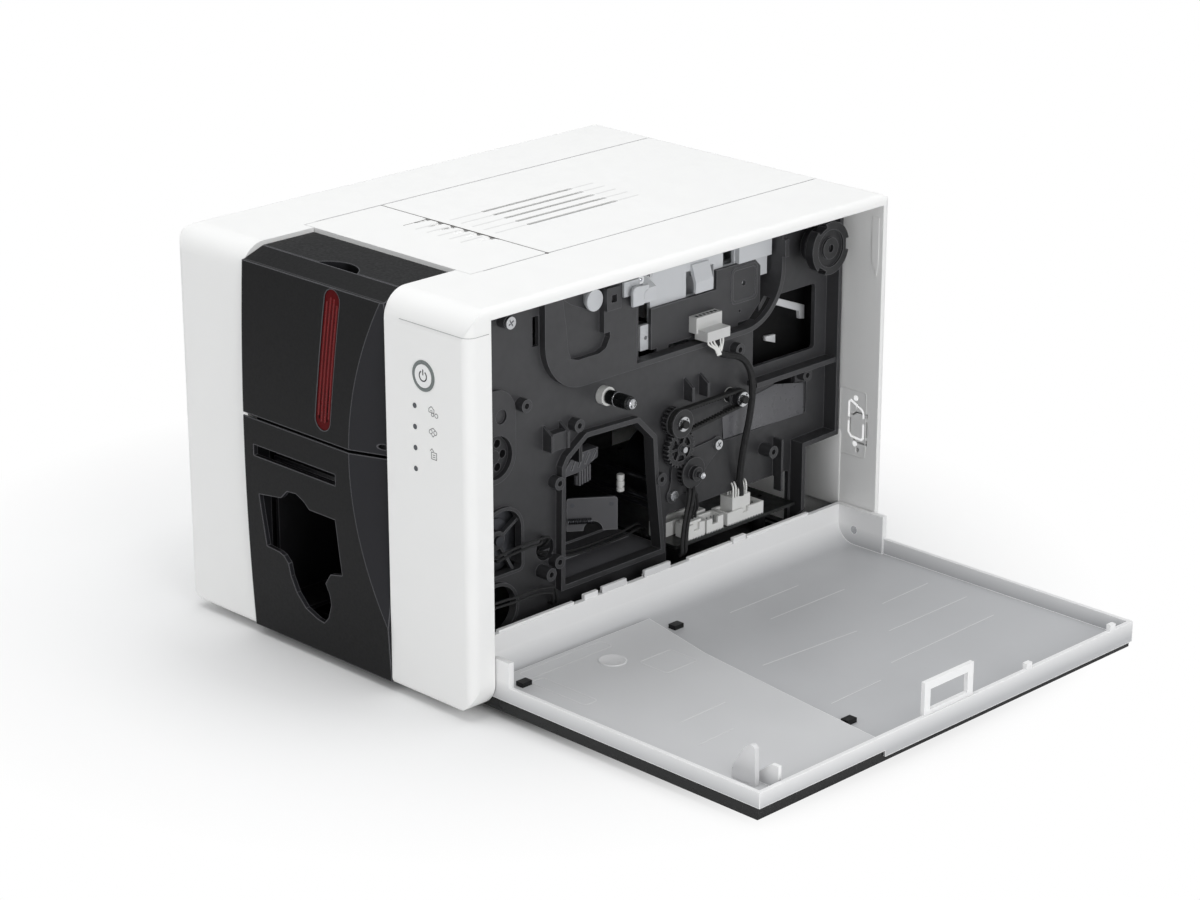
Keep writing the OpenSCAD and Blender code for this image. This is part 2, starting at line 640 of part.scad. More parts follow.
module right_chassis_plate() {
    color([0.2, 0.2, 0.21]) difference() {
        union() {
            difference() {
                along_x(plate_x - plate_t, flange_x) polygon(chassis_outline);
                along_x(plate_x, flange_x + 1) polygon(grown(chassis_outline, -plate_t));
                along_x(plate_x, flange_x + 1) translate([bay_y0, chassis_top - 10]) square([bay_y1 - bay_y0, 20]);
            }
            // raised front part of the ribbon bay, and the lip that runs on round it
            along_x(plate_x - eps, plate_x + lip_h) intersection() {
                difference() {
                    bay_shape(lip_t);
                    difference() {
                        bay_shape(0);
                        translate([bay_y0 - 1, bay_z0 - 1]) square([step_end_y - bay_y0 + 1, far]);
                    }
                }
                polygon(grown(chassis_outline, -1));
            }
            // wall of the bay behind the plate, beside the sensor board
            along_x(plate_x - 11.5, plate_x) intersection() {
                difference() {
                    bay_shape(lip_t);
                    bay_shape(0);
                }
                translate([sensor_y1 + 0.4, bay_z0]) square([far, chassis_top - bay_z0]);
            }
            // catches with square sockets on both sides of the bay
            block([plate_x - eps, -29.8, bay_z0 + 31], [plate_x + 6, -20.6, bay_z0 + 42]);
            block([plate_x - eps, bay_y1 - 7.5, bay_z0 + 31.5], [plate_x + 6, bay_y1 + lip_t, bay_z0 + 40.5]);
            along_x(plate_x - eps, plate_x + lip_h) difference() {
                polygon(grown(window_outline, lip_t));
                polygon(window_outline);
            }
            along_x(plate_x - eps, plate_x + 2.5) disc_ground();
            along_x(plate_x - eps, plate_x + 2) difference() {
                wheel_opening(1.6);
                wheel_opening(0);
            }
            along_x(plate_x - eps, plate_x + 2) translate(ring_axis) difference() {
                circle(13.6);
                circle(12);
            }
            // shelf behind the two right-hand windows
            block([plate_x - eps, 74, 100], [flange_x - 1, chassis_y1, 102.5]);
            for (p = bosses) rod_x(plate_x - eps, plate_x + p[2], [p[0], p[1]], 3.2);
            // gussets above the drive, a box between two gussets, and a rib beside the board
            for (y = [28.7, 39.4]) gusset(y, path_z + 1, path_z + 12);
            for (y = [-66.4, -56]) gusset(y, path_z - 1, path_z + 11);
            block([plate_x - eps, -65, path_z - 1], [plate_x + 5, -56, path_z + 7.5]);
            block([plate_x - eps, 94.3, 40], [plate_x + 6, 95.5, 67.5]);
        }
        along_x(plate_x - plate_t - 1, plate_x + 1) chassis_windows();
        along_x(plate_x - 1, plate_x + lip_h) translate(disc_axis) circle(10.5);
        rod_x(plate_x + 1, plate_x + lip_h, disc_axis + [3.8, 19.1], 3.5);
        difference() {
            along_x(plate_x - plate_t - 1, plate_x + 1) wheel_opening(0);
            // spokes and hub left standing
            rod_x(plate_x - plate_t - 2, plate_x + 2, wheel_axis, 4.6);
            for (a = [30 : 90 : 300]) translate([0, wheel_axis[0], wheel_axis[1]]) rotate([a, 0, 0])
                block([plate_x - plate_t - 2, 0, -0.7], [plate_x + 2, 30, 0.7]);
        }
        rod_x(plate_x - plate_t - 1, plate_x + 1, wheel_axis, 2.4);
        // hollow and notch in the raised part, clear of the front catch
        difference() {
            union() {
                along_x(plate_x + 0.6, plate_x + lip_h + 1) polygon(hollow_outline);
                along_x(plate_x - eps, plate_x + lip_h + 1) polygon(notch_outline);
                along_x(plate_x - plate_t - 1, plate_x + 1) translate(takeup_axis - [takeup_r + run_gap, 0])
                    square([2 * (takeup_r + run_gap), far]);
            }
            block([plate_x - 5, -29.8, bay_z0 + 20], [plate_x + 10, -20.6, bay_z0 + 42]);
        }
        // sockets of the catches
        for (p = [[-25.2, bay_z0 + 36.5], [bay_y1 - 2.5, bay_z0 + 36]])
            along_x(plate_x + 3, plate_x + 7) translate(p) square([3.6, 3.6], center = true);
        // shallow panel beside the drive
        along_x(plate_x - 0.8, plate_x + 1) translate([56.5, 75]) square([62, 18]);
        along_x(plate_x - plate_t - 1, flange_x + 1) bay_opening();
        rod_x(plate_x - plate_t - 1, plate_x + 1, takeup_axis, takeup_r + run_gap);
        for (p = bosses) rod_x(plate_x - 1, plate_x + p[2] + 1, [p[0], p[1]], 1.4);
        for (p = motor_ears) rod_x(plate_x - plate_t - 1, plate_x + 1, p, 1.3);
        // the door's curl swings past here
        rod_y(chassis_y0 - 1, chassis_y1 + 1, [hinge_x, hinge_z], sweep_r);
        for (a = [belt_axis, platen_axis, cleaning_axis])
            rod_x(plate_x - plate_t - 1, plate_x + 1, a, bush_r);
        rod_x(plate_x - plate_t - 1, plate_x + 1, motor_axis, 12);
        rod_x(plate_x - plate_t - 1, plate_x + 1, idler_axis, 1.5);
        rod_x(plate_x - plate_t - 1, plate_x + 1, supply_axis, spindle_r + run_gap);
    }
}
bush_r = shaft_r + 1.8;
spindle_r = 5;      // stubs of the ribbon spindle
takeup_r = 4;

module left_chassis_plate() {
    x0 = left_plate_x;
    color([0.2, 0.2, 0.21]) difference() {
        along_x(x0, x0 + plate_t) polygon(chassis_outline);
        // clear of the lid's hinge
        block([x0 - 1, lid_hinge_y - 8, lid_hinge_z - 8], [x0 + plate_t + 1, back_y, body_h]);
        along_x(x0 - 1, x0 + plate_t + 1) corner_rect(-60, 30, 60, 88, [4, 4, 4, 4]);
        rod_x(x0 - 1, x0 + plate_t + 1, takeup_axis, takeup_r + run_gap);
        for (a = [belt_axis, platen_axis, cleaning_axis])
            rod_x(x0 - 1, x0 + plate_t + 1, a, bush_r);
        rod_x(x0 - 1, x0 + plate_t + 1, supply_axis, spindle_r + run_gap);
    }
}

// Deck that the card slides on, with slots for the rollers
module card_guide() {
    x0 = left_plate_x + plate_t;
    x1 = plate_x - plate_t;
    color([0.16, 0.16, 0.17]) difference() {
        union() {
            block([x0, -40, deck_z - 1.8], [x1, 112, deck_z - 0.3]);
            for (x = [card_x - 31, card_x + 29]) block([x, -40, deck_z - 1.8], [x + 2, 112, deck_z + 1.2]);
            for (y = [-40, 110]) block([x0, y, 88], [x1, y + 2, deck_z - 1]);
        }
        for (a = [belt_axis, platen_axis])
            block([roller_x0 - 1, a[0] - 7.5, 80], [roller_x1 + 1, a[0] + 7.5, deck_z + 5]);
        for (a = [belt_axis, platen_axis], x = [x0 - 1, x1 - 1.5]) rod_x(x, x + 2.5, a, bush_r + 1.2);
    }
}

tray_back_y = takeup_axis[0] - takeup_roll_r - 0.6;
module card_feeder_tray() {
    x0 = card_x - 30;
    x1 = card_x + 30;
    color([0.18, 0.18, 0.19]) difference() {
        union() {
            block([x0 - 2, hood_back_y + 3, path_z + 8], [x1 + 2, tray_back_y, body_h - 14]);
            // wings between the chassis plates
            block([left_plate_x + plate_t, -70, path_z + 14], [plate_x - plate_t, -67, path_z + 34]);
        }
        block([x0, hood_back_y + 2, path_z + 10], [x1, tray_back_y - 2, body_h]);
        block([card_x - 12, hood_back_y, path_z + 7], [card_x + 12, -60, path_z + 11]);
    }
}

module card_hopper() {
    x0 = card_x - 30;
    x1 = card_x + 31;
    color([0.15, 0.15, 0.16]) difference() {
        block([x0 - 2, front_y + 11, hopper_z], [x1 + 2, -64, 86]);
        block([x0, front_y + 10, hopper_z + 2], [x1, -66, 84]);
        block([card_x - 10, front_y + 10, hopper_z - 1], [card_x + 12, front_y + 40, hopper_z + 3]);
    }
}

// ---------- ribbon ----------

module supply_hub() {
    x1 = side_x - 16;
    color([0.2, 0.2, 0.21]) difference() {
        union() {
            rod_x(plate_x - 12, x1, supply_axis, spindle_r);
            rod_x(plate_x + lip_h + 0.3, plate_x + lip_h + 3.3, supply_axis, 9);
            rod_x(x1 - 5, x1, supply_axis, 13.5);
        }
        rod_x(x1 - 2, x1 + 1, supply_axis, 2);
        for (a = [0 : 120 : 240]) translate([0, supply_axis[0], supply_axis[1]]) rotate([a, 0, 0])
            block([x1 - 6, 11.2, -3], [x1 + 1, 15, 3]);
        difference() {
            rod_x(x1 - 1.2, x1 + 1, supply_axis, 9.5);
            rod_x(x1 - 2, x1 + 2, supply_axis, 5.5);
        }
    }
}

// Roll of ribbon on its core
module ribbon_roll(x0, x1, yz, r) {
    rod_x(x0, x1, yz, 6);
    rod_x(x0 + 6, x1 - 6, yz, r);
}

module supply_spool() {
    color([0.1, 0.1, 0.1]) {
        ribbon_roll(left_plate_x + plate_t + 0.5, plate_x - 12, supply_axis, 14);
        rod_x(left_plate_x - 1, left_plate_x + plate_t + 0.5 + eps, supply_axis, spindle_r);
    }
}

module takeup_spool() {
    color([0.75, 0.76, 0.78]) {
        ribbon_roll(left_plate_x + plate_t + 0.5, plate_x - plate_t - 8, takeup_axis, takeup_roll_r);
        rod_x(plate_x - plate_t - 8 - eps, plate_x + 2, takeup_axis, takeup_r);
        rod_x(plate_x + 2 - eps, plate_x + 3.5, takeup_axis, takeup_r + 1.2);
        rod_x(left_plate_x - 1, left_plate_x + plate_t + 0.5 + eps, takeup_axis, takeup_r);
    }
}

// ---------- rollers and shafts ----------

module shaft_roller(yz, r, x_end) {
    rod_x(left_plate_x - 1.5, x_end, yz, shaft_r);
    rod_x(roller_x0, roller_x1, yz, r);
}

module transport_roller() {
    color([0.25, 0.25, 0.26]) shaft_roller(belt_axis, path_z - belt_axis[1], pulley_x + belt_w + 4);
}
module platen_roller() {
    color([0.25, 0.25, 0.26]) shaft_roller(platen_axis, path_z - platen_axis[1], pulley_x + belt_w + 4);
}
module cleaning_roller() {
    color([0.2, 0.2, 0.21]) {
        shaft_roller(cleaning_axis, cleaning_axis[1] - path_z - 0.2, side_x - 12);
        rod_x(plate_x + 5.5, side_x - 18, cleaning_axis, 3.4);
    }
}
module cleaning_roller_collar() {
    color("gainsboro") difference() {
        rod_x(plate_x, plate_x + 4, cleaning_axis, 4.6);
        rod_x(plate_x - 1, plate_x + 6, cleaning_axis, shaft_r + run_gap);
    }
}
module shaft_bushes() {
    color("gainsboro") for (a = [belt_axis, platen_axis, cleaning_axis],
        x = [left_plate_x, plate_x - plate_t]) difference() {
            union() {
                rod_x(x, x + plate_t, a, bush_r);
                if (x > 0) rod_x(x - 0.8, x, a, bush_r + 0.8);
                else rod_x(x + plate_t, x + plate_t + 0.8, a, bush_r + 0.8);
            }
            rod_x(x - 2, x + plate_t + 2, a, shaft_r + run_gap);
        }
}

// ---------- feed drive ----------

// Outline of a gear; each tooth is a trapezium on the root circle
module gear_shape(teeth) {
    pitch_r = gear_m * teeth / 2;
    root_r = pitch_r - 1.25 * gear_m;
    tip_r = pitch_r + 0.9 * gear_m;
    circle(root_r);
    for (i = [0 : teeth - 1]) rotate(360 * i / teeth)
        polygon([[root_r - 0.3, -0.4 * PI * gear_m], [root_r, -0.37 * PI * gear_m], [pitch_r, -0.215 * PI * gear_m],
            [tip_r, -0.11 * PI * gear_m], [tip_r, 0.11 * PI * gear_m], [pitch_r, 0.215 * PI * gear_m],
            [root_r, 0.37 * PI * gear_m], [root_r - 0.3, 0.4 * PI * gear_m]]);
}
module gear_body(x0, x1, yz, teeth, turn) {
    along_x(x0, x1) translate(yz) rotate(turn) gear_shape(teeth);
}
// angle that puts a gap towards the direction a, for a gear with that many teeth
function gap_turn(a, teeth) = a + 180 / teeth;
to_idler = atan2(idler_axis[1] - belt_axis[1], idler_axis[0] - belt_axis[0]);
to_motor = atan2(motor_axis[1] - idler_axis[1], motor_axis[0] - idler_axis[0]);
idler_turn = to_idler + 180;                      // a tooth points back at the pulley's gear
// how far the idler's nearest tooth is from the motor's direction, as a share of one tooth
idler_phase = (to_motor - idler_turn) * idler_teeth / 360;
motor_turn = to_motor + 180 + 180 / motor_teeth + idler_phase * 360 / motor_teeth;

module belt_pulley() {
    x = pulley_x;
    color([0.17, 0.17, 0.17]) difference() {
        union() {
            gear_body(gear_x, gear_x + gear_w, belt_axis, pulley_teeth, gap_turn(to_idler, pulley_teeth));
            rod_x(gear_x, x + belt_w + 2 * flange_t, belt_axis, big_pulley_r);
            rod_x(x - 0.1, x + flange_t - 0.1, belt_axis, big_pulley_r + 1.6);
            rod_x(x + belt_w + flange_t, x + belt_w + 2 * flange_t, belt_axis, big_pulley_r + 1.6);
        }
        rod_x(gear_x - 1, x + belt_w + 3, belt_axis, shaft_r);
        rod_x(x + belt_w + 2 * flange_t - 0.6, x + belt_w + 3, belt_axis, shaft_r + 1.8);
    }
}
module small_pulley() {
    x = pulley_x;
    color([0.17, 0.17, 0.17]) difference() {
        union() {
            rod_x(plate_x + 0.5, x + belt_w + 2 * flange_t, platen_axis, small_pulley_r);
            rod_x(x - 0.1, x + flange_t - 0.1, platen_axis, small_pulley_r + 1.4);
        }
        rod_x(plate_x - 1, x + belt_w + 3, platen_axis, shaft_r);
    }
}
// Open retaining ring on the end of a shaft
module open_clip(yz) {
    x = pulley_x + belt_w + 2 * flange_t + 0.2;
    along_x(x, x + 0.7) translate(yz) difference() {
        circle(shaft_r + 1.7);
        circle(shaft_r);
        for (a = [45 : 90 : 315]) rotate(a) translate([shaft_r + 0.8, 0]) circle(0.5);
        rotate(200) translate([0, -1.1]) square([6, 2.2]);
    }
}
module pulley_clip() { color("silver") open_clip(belt_axis); }
module small_pulley_clip() { color("silver") open_clip(platen_axis); }

// Loop of belt round two pulleys of radius a and b, drawn at a height t above them
module belt_loop(t) {
    p = belt_axis;
    q = platen_axis;
    d = norm(q - p);
    ang = atan2(q[1] - p[1], q[0] - p[0]);
    lean = acos((big_pulley_r - small_pulley_r) / d);
    translate(p) circle(big_pulley_r + t);
    translate(q) circle(small_pulley_r + t);
    polygon([p + (big_pulley_r + t) * [cos(ang - lean), sin(ang - lean)],
        q + (small_pulley_r + t) * [cos(ang - lean), sin(ang - lean)],
        q + (small_pulley_r + t) * [cos(ang + lean), sin(ang + lean)],
        p + (big_pulley_r + t) * [cos(ang + lean), sin(ang + lean)]]);
}
module timing_belt() {
    x = pulley_x + flange_t;
    color([0.12, 0.12, 0.12]) along_x(x, x + belt_w) difference() {
        belt_loop(belt_t);
        belt_loop(0.02);
    }
}

module idler_gear() {
    pitch_r = gear_m * idler_teeth / 2;
    color([0.18, 0.18, 0.18]) difference() {
        union() {
            gear_body(gear_x, gear_x + gear_w, idler_axis, idler_teeth, idler_turn);
            rod_x(gear_x, gear_x + gear_w + 0.8, idler_axis, 3.2);
        }
        difference() {
            rod_x(gear_x + 1, gear_x + gear_w + 1, idler_axis, pitch_r - 2.6);
            rod_x(gear_x, gear_x + gear_w + 2, idler_axis, 3.2);
            for (a = [0 : 60 : 300]) translate([0, idler_axis[0], idler_axis[1]]) rotate([a, 0, 0])
                block([gear_x, 0, -0.6], [gear_x + gear_w, pitch_r, 0.6]);
        }
        rod_x(gear_x - 1, gear_x + gear_w + 2, idler_axis, 1.5 + run_gap);
    }
}
module idler_post() {
    color("silver") {
        rod_x(plate_x - plate_t, gear_x + gear_w + 3, idler_axis, 1.5);
        rod_x(plate_x, gear_x - 0.2, idler_axis, 3);
    }
}
module motor_gear() {
    x = gear_x;
    color([0.18, 0.18, 0.18]) {
        gear_body(x, x + gear_w, motor_axis, motor_teeth, motor_turn);
        rod_x(x + gear_w + 0.3, x + gear_w + 1.2, motor_axis, gear_m * motor_teeth / 2 + 0.9);
        rod_x(x + gear_w - eps, x + gear_w + 4, motor_axis, 3.6);
        rod_x(plate_x - 3, x + gear_w + 7.5, motor_axis, 1.5);
    }
}
motor_ears = [motor_axis + [21.4, 8.3], motor_axis - [10.1, 10.3]];
module motor_plate() {
    color([0.22, 0.22, 0.23]) along_x(plate_x, plate_x + 0.9) difference() {
        union() {
            translate(motor_axis) circle(11);
            for (p = motor_ears) {
                translate(p) circle(4);
                along = unit(p - motor_axis);
                across = [-along[1], along[0]];
                polygon([motor_axis + 10.5 * across, motor_axis - 10.5 * across, p - 3.6 * across, p + 3.6 * across]);
            }
        }
        translate(motor_axis) circle(4);
        for (p = motor_ears) translate(p) circle(1.3);
        translate(idler_axis) circle(3.4);
    }
}
module feed_motor() {
    color([0.3, 0.3, 0.32]) difference() {
        union() {
            rod_x(plate_x - 26, plate_x - plate_t - 1, motor_axis, 17.5);
            rod_x(plate_x - plate_t - 1 - eps, plate_x, motor_axis, 11.5);
        }
        rod_x(plate_x - 4, plate_x + 1, motor_axis, 1.5 + run_gap);
    }
}
module pan_screw(x, yz, r) {
    difference() {
        union() {
            rod_x(x, x + 1.6, yz, r);
            rod_x(x - 4, x, yz, 1.25);
        }
        for (a = [0, 90]) translate([0, yz[0], yz[1]]) rotate([a + 30, 0, 0])
            block([x + 0.8, -r * 0.6, -0.35], [x + 2, r * 0.6, 0.35]);
    }
}
module motor_screws() {
    color("silver") for (p = motor_ears) pan_screw(plate_x + 0.9, p, 2.6);
}

// ---------- feeder drive behind the front leg ----------

module feeder_motor() {
    color([0.25, 0.25, 0.26]) {
        rod_x(plate_x - 19, plate_x - plate_t - 1, wheel_axis, 17);
        rod_x(plate_x - plate_t - 1 - eps, plate_x + 1.5, wheel_axis, 2.4);
        rod_x(plate_x - plate_t - 1 - eps, plate_x - plate_t, wheel_axis, 10);
    }
}
module feeder_disc() {
    x = plate_x - plate_t;
    color([0.15, 0.15, 0.16]) difference() {
        union() {
            rod_x(x - 1.5, x, disc_axis, 12.5);
            rod_x(x - 6, x + 4, disc_axis, 3.5);
            rod_x(x - eps, x + 2.5, disc_axis, 10.2);
        }
        for (a = [0 : 60 : 300]) translate([0, disc_axis[0], disc_axis[1]]) rotate([a, 0, 0])
            rod_x(x - 1, x + 4, [6.6, 0], 2);
    }
}

// ---------- electronics ----------

board_x1 = plate_x + 5;
board_z = 29.4;
board_t = 1.6;
board_y0 = 19;
board_y1 = step_y - 4.3;
board_x0 = left_plate_x + 12;
board_posts = [for (x = [board_x0 + 6, board_x1 - 19], y = [board_y0 + 5, board_y1 - 6]) [x, y]];
hopper_z = 12;
socket_x0 = -50;
socket_x1 = -14;
socket_z1 = board_z + 21;
sensor_y0 = 8.4;
sensor_y1 = 85.4;
sensor_z0 = bay_z0 + 1.6;
sensor_t = 2;
sensor_x = plate_x - plate_t;       // outer face of the sensor board, against the chassis plate

module sensor_board() {
    color([0.28, 0.28, 0.29]) difference() {
        union() {
            along_x(sensor_x - sensor_t, sensor_x) polygon([[sensor_y0, sensor_z0], [sensor_y1 - 8, sensor_z0],
                [sensor_y1, sensor_z0 + 7], [sensor_y1, sensor_z0 + 26], [sensor_y1 - 4, sensor_z0 + 30],
                [sensor_y0 + 45.5, sensor_z0 + 30], [sensor_y0 + 45.5, sensor_z0 + 20.4],
                [sensor_y0, sensor_z0 + 20.4]]);
            for (y = [sensor_y0 + 4, sensor_y1 - 24])
                block([sensor_x - sensor_t, y, sensor_z0 - 8.5], [sensor_x, y + 8, sensor_z0 + 1]);
            // embossed square round the upper hole
            along_x(sensor_x - eps, sensor_x + 0.5) translate(sensor_hole) difference() {
                corner_rect(-9.5, -9.5, 9.5, 9, [3, 3, 3, 3]);
                corner_rect(-8, -8, 8, 7.5, [2, 2, 2, 2]);
            }
        }
        rod_x(sensor_x - 3, sensor_x + 1, sensor_hole, 1.4);
        rod_x(sensor_x - 3, sensor_x + 1, sensor_hole - [2.7, 13.7], 0.8);
    }
}
bracket_x = sensor_x - sensor_t;
bracket_screw = [sensor_y0 - 1.5, sensor_z0 + 38];
sensor_hole = [73.5, sensor_z0 + 19.5];
connector_yz = [34.6, sensor_z0 + 3];
// Bracket behind the sensor board, with a bent tab in its window and a hook at the front
module head_bracket() {
    x1 = bracket_x;
    y = sensor_y0;
    z = sensor_z0;
    color([0.82, 0.83, 0.84]) difference() {
        union() {
            difference() {
                along_x(x1 - 2, x1) polygon([[y - 5.4, z], [y + 6, z], [y + 6, z + 8], [y + 75, z + 8],
                    [y + 75, z + 20], [y + 84, z + 20], [y + 84, z + 44], [y - 14, z + 44], [y - 14, z + 29],
                    [y + 1.2, z + 29], [y + 1.2, z + 12.6], [y - 5.4, z + 12.6]]);
                along_x(x1 - 3, x1 + 1) translate([y + 26, z + 20.4]) square([19.2, 12.5]);
            }
            // fold against the chassis plate, and the thick back end
            block([x1 - 2, y - 14, z + 29], [plate_x - plate_t, y - 12.4, z + 44]);
            block([x1 - 2, y + 60.4, z + 30.3], [plate_x - 1.5, y + 84, z + 44]);
            along_y(y + 29, y + 41) polygon([[x1 - 1, z + 36], [x1 - 1, z + 34], [x1 + 2.2, z + 27],
                [x1 + 2.2, z + 22], [x1 + 3.7, z + 22], [x1 + 3.9, z + 27.6], [x1 + 1, z + 36]]);
            // hook that reaches out in front of the chassis plate
            along_y(y - 11.2, y - 5.2) polygon([[x1 - 1, z + 40], [x1 - 1, z + 36], [x1 + 7.5, z + 33.2],
                [x1 + 8.7, z + 28], [x1 + 10.2, z + 28], [x1 + 10.2, z + 35], [x1 + 1, z + 40]]);
            block([x1 + 8.7, y - 20.9, z + 28], [x1 + 10.2, y - 11, z + 34]);
            block([x1 + 8.7, y - 26.7, z + 33.7], [x1 + 10.2, y - 16.4, z + 41]);
        }
        block([x1 - 3, y + 52, z + 30], [x1 + 0.5, y + 60, z + 38.6]);
        rod_x(x1 - 3, x1 + 1, [y - 1.7, z + 6], 1);
        rod_x(x1 - 3, x1 + 1, bracket_screw, 1.3);
    }
}

module sensor_connector() {
    y = connector_yz[0];
    z = connector_yz[1];
    color("gainsboro") difference() {
        union() {
            block([sensor_x, y, z], [sensor_x + 5, y + 18, z + 8]);
            block([sensor_x + 3, y + 1, z - 3], [sensor_x + 11.5, y + 17, z + 2]);
        }
        for (i = [0 : 5]) block([sensor_x + 1.6, y + 2 + 2.6 * i, z + 5], [sensor_x + 3.4, y + 3.4 + 2.6 * i, z + 9]);
    }
}
module main_board() {
    color([0.1, 0.14, 0.11]) difference() {
        union() {
            block([board_x0, board_y0, board_z], [board_x1, board_y1, board_z + board_t]);
            block([socket_x0, board_y1 - eps, board_z], [socket_x1, back_y - 5, board_z + board_t]);
        }
        for (p = board_posts) rod_z(board_z - 1, board_z + 3, p, 1.6);
    }
}
// sockets on the board: [y, length, distance of the face from the board's edge, width, height]
sockets = [[20.5, 32, 12, 8, 7.5], [29, 11.6, 1, 9, 7.4], [42, 12, 1, 9, 7], [57, 26.5, 1, 11, 6.5]];
// plugs: [socket, first y, length, height above the socket]
plugs = [[1, 30.4, 8.8, 1.2], [3, 62, 13, 6.4]];
socket_floor = board_z + 4;
module board_connectors() {
    z0 = board_z + board_t;
    color("gainsboro") for (s = sockets) let (x = board_x1 - s[2]) difference() {
        block([x - s[3], s[0], z0], [x, s[0] + s[1], z0 + s[4]]);
        block([x - s[3] + 1.2, s[0] + 1.2, socket_floor], [x - 1.2, s[0] + s[1] - 1.2, z0 + s[4] + 1]);
        block([x - 1.4, s[0] + s[1] / 2 - 2, socket_floor + 1.5], [x + 1, s[0] + s[1] / 2 + 2, z0 + s[4] + 1]);
    }
}
module board_plugs() {
    color("whitesmoke") for (p = plugs) let (s = sockets[p[0]], x = board_x1 - s[2])
        block([x - s[3] + 1.4, p[1], socket_floor], [x - 1.4, p[1] + p[2], board_z + board_t + s[4] + p[3]]);
}

// Tube swept along points; each ring stands square to the route there
function unit(v) = v / norm(v);
function ring_at(pts, i, r, sides) = let (n = len(pts),
    t = unit(pts[min(i + 1, n - 1)] - pts[max(i - 1, 0)]),
    u = unit(cross(t, abs(t[0]) > 0.9 ? [0, 1, 0] : [1, 0, 0])), w = cross(t, u))
    [for (k = [0 : sides - 1]) pts[i] + r * (cos(360 * k / sides) * u + sin(360 * k / sides) * w)];
module tube(pts, r, sides = 8) {
    n = len(pts);
    points = [for (i = [0 : n - 1]) each ring_at(pts, i, r, sides)];
    walls = [for (i = [0 : n - 2], k = [0 : sides - 1])
        [i * sides + k, i * sides + (k + 1) % sides, (i + 1) * sides + (k + 1) % sides, (i + 1) * sides + k]];
    polyhedron(points, concat(walls, [[for (k = [sides - 1 : -1 : 0]) k]],
        [[for (k = [0 : sides - 1]) (n - 1) * sides + k]]));
}
// Smooth curve through the points, four steps to each span
function curve(p) = concat([for (i = [0 : len(p) - 2], s = [0 : 3]) let (t = s / 4, a = p[max(i - 1, 0)],
    b = p[i], c = p[i + 1], d = p[min(i + 2, len(p) - 1)])
    0.5 * (2 * b + (c - a) * t + (2 * a - 5 * b + 4 * c - d) * t * t + (3 * b - a - 3 * c + d) * t * t * t)],
    [p[len(p) - 1]]);
// Route that leaves a along da and arrives at b against db, straight at both ends
function led(a, da, mid, b, db) = curve(concat([a, a + 0.5 * da, a + da], mid, [b + db, b + 0.5 * db, b]));

// Each route is measured from the face of the chassis plate
module sensor_cable() {
    color([0.08, 0.08, 0.08]) translate([plate_x, 0, 0]) tube(led([7, 44, sensor_z0], [0, 0, -2],
        [[7, 45, 127.5], [7, 48, 124], [6.8, 55, 121.5], [6.6, 61, 119.2], [7.4, 65.6, 115], [8.6, 68, 108],
        [9, 68.2, 98], [8, 67.4, 86], [6, 66.6, 74], [4, 66.4, 62], [2.6, 67, 53], [2.1, 68.2, 48.5]],
        [2, 68.5, board_z + board_t + 12.9], [0, 0, 1.5]), 1.7);
}
module motor_cable() {
    color([0.08, 0.08, 0.08]) translate([plate_x, 0, 0]) for (a = [-1, 1])
        tube(led([0.9, 33 + a, 56.2], [1.4, 0, 0], [[3.6, 33.3 + a, 53.6], [4, 34 + a, 49.5], [2.8, 34.6 + a, 45.5]],
            [-0.4, 35 + a, board_z + board_t + 8.6], [0, 0, 2]), 0.8, 6);
}
module feeder_wires() {
    upper = [[4.4, -99.8, 58.8], [4.8, -94, 59.8], [4.8, -86.4, 60.3], [5.2, -79, 60.7], [5.2, -73.4, 60.6],
        [4.6, -68, 60], [2.8, -65.4, 57.5], [0, -65.4, 54], [-4, -65, 52], [-10, -61, 46], [-12.5, -52, 41],
        [-13.5, -30, 36], [-13.8, 0, 36], [-14.4, 14, 37]];
    lower = [[6, -104, 37], [6, -95, 36.6], [6, -88.6, 36.2], [6, -80, 36.4], [6, -74.6, 35.9], [5.6, -68, 34.8],
        [5, -63.8, 32.9]];
    // the second wire of each pair runs beside the first
    color([0.08, 0.08, 0.08]) translate([plate_x, 0, 0]) for (a = [0, 1]) {
        tube(led([-2.5, -101 + 3 * a, 57.6 - 2.4 * a], [3, 0, 0],
            [for (i = [0 : 13]) upper[i] + a * (i < 5 ? [0, 0, -2.3] : i < 9 ? [-1.7, -1.7, 0] : [-1.6, -0.8, 1.8])],
            [-15 - 2.4 * a, 18, board_z + board_t], [0, 0, 3]), 0.7, 6);
        tube(led([5, chassis_y0 + plate_t, 37 - 2.3 * a], [0, 2, 0],
            [for (i = [0 : 6]) lower[i] - a * [0, i < 5 ? 0 : 1.8, 2.3]],
            [0, -60.5 - 2.8 * a, 24.5], [3, 0, 0]), 0.7, 6);
    }
}

module chassis_screws() {
    color("silver") {
        pan_screw(plate_x + 5, corner_screw, 3);
        pan_screw(bracket_x, bracket_screw, 2.6);
    }
}

// ---------- power button and lights ----------

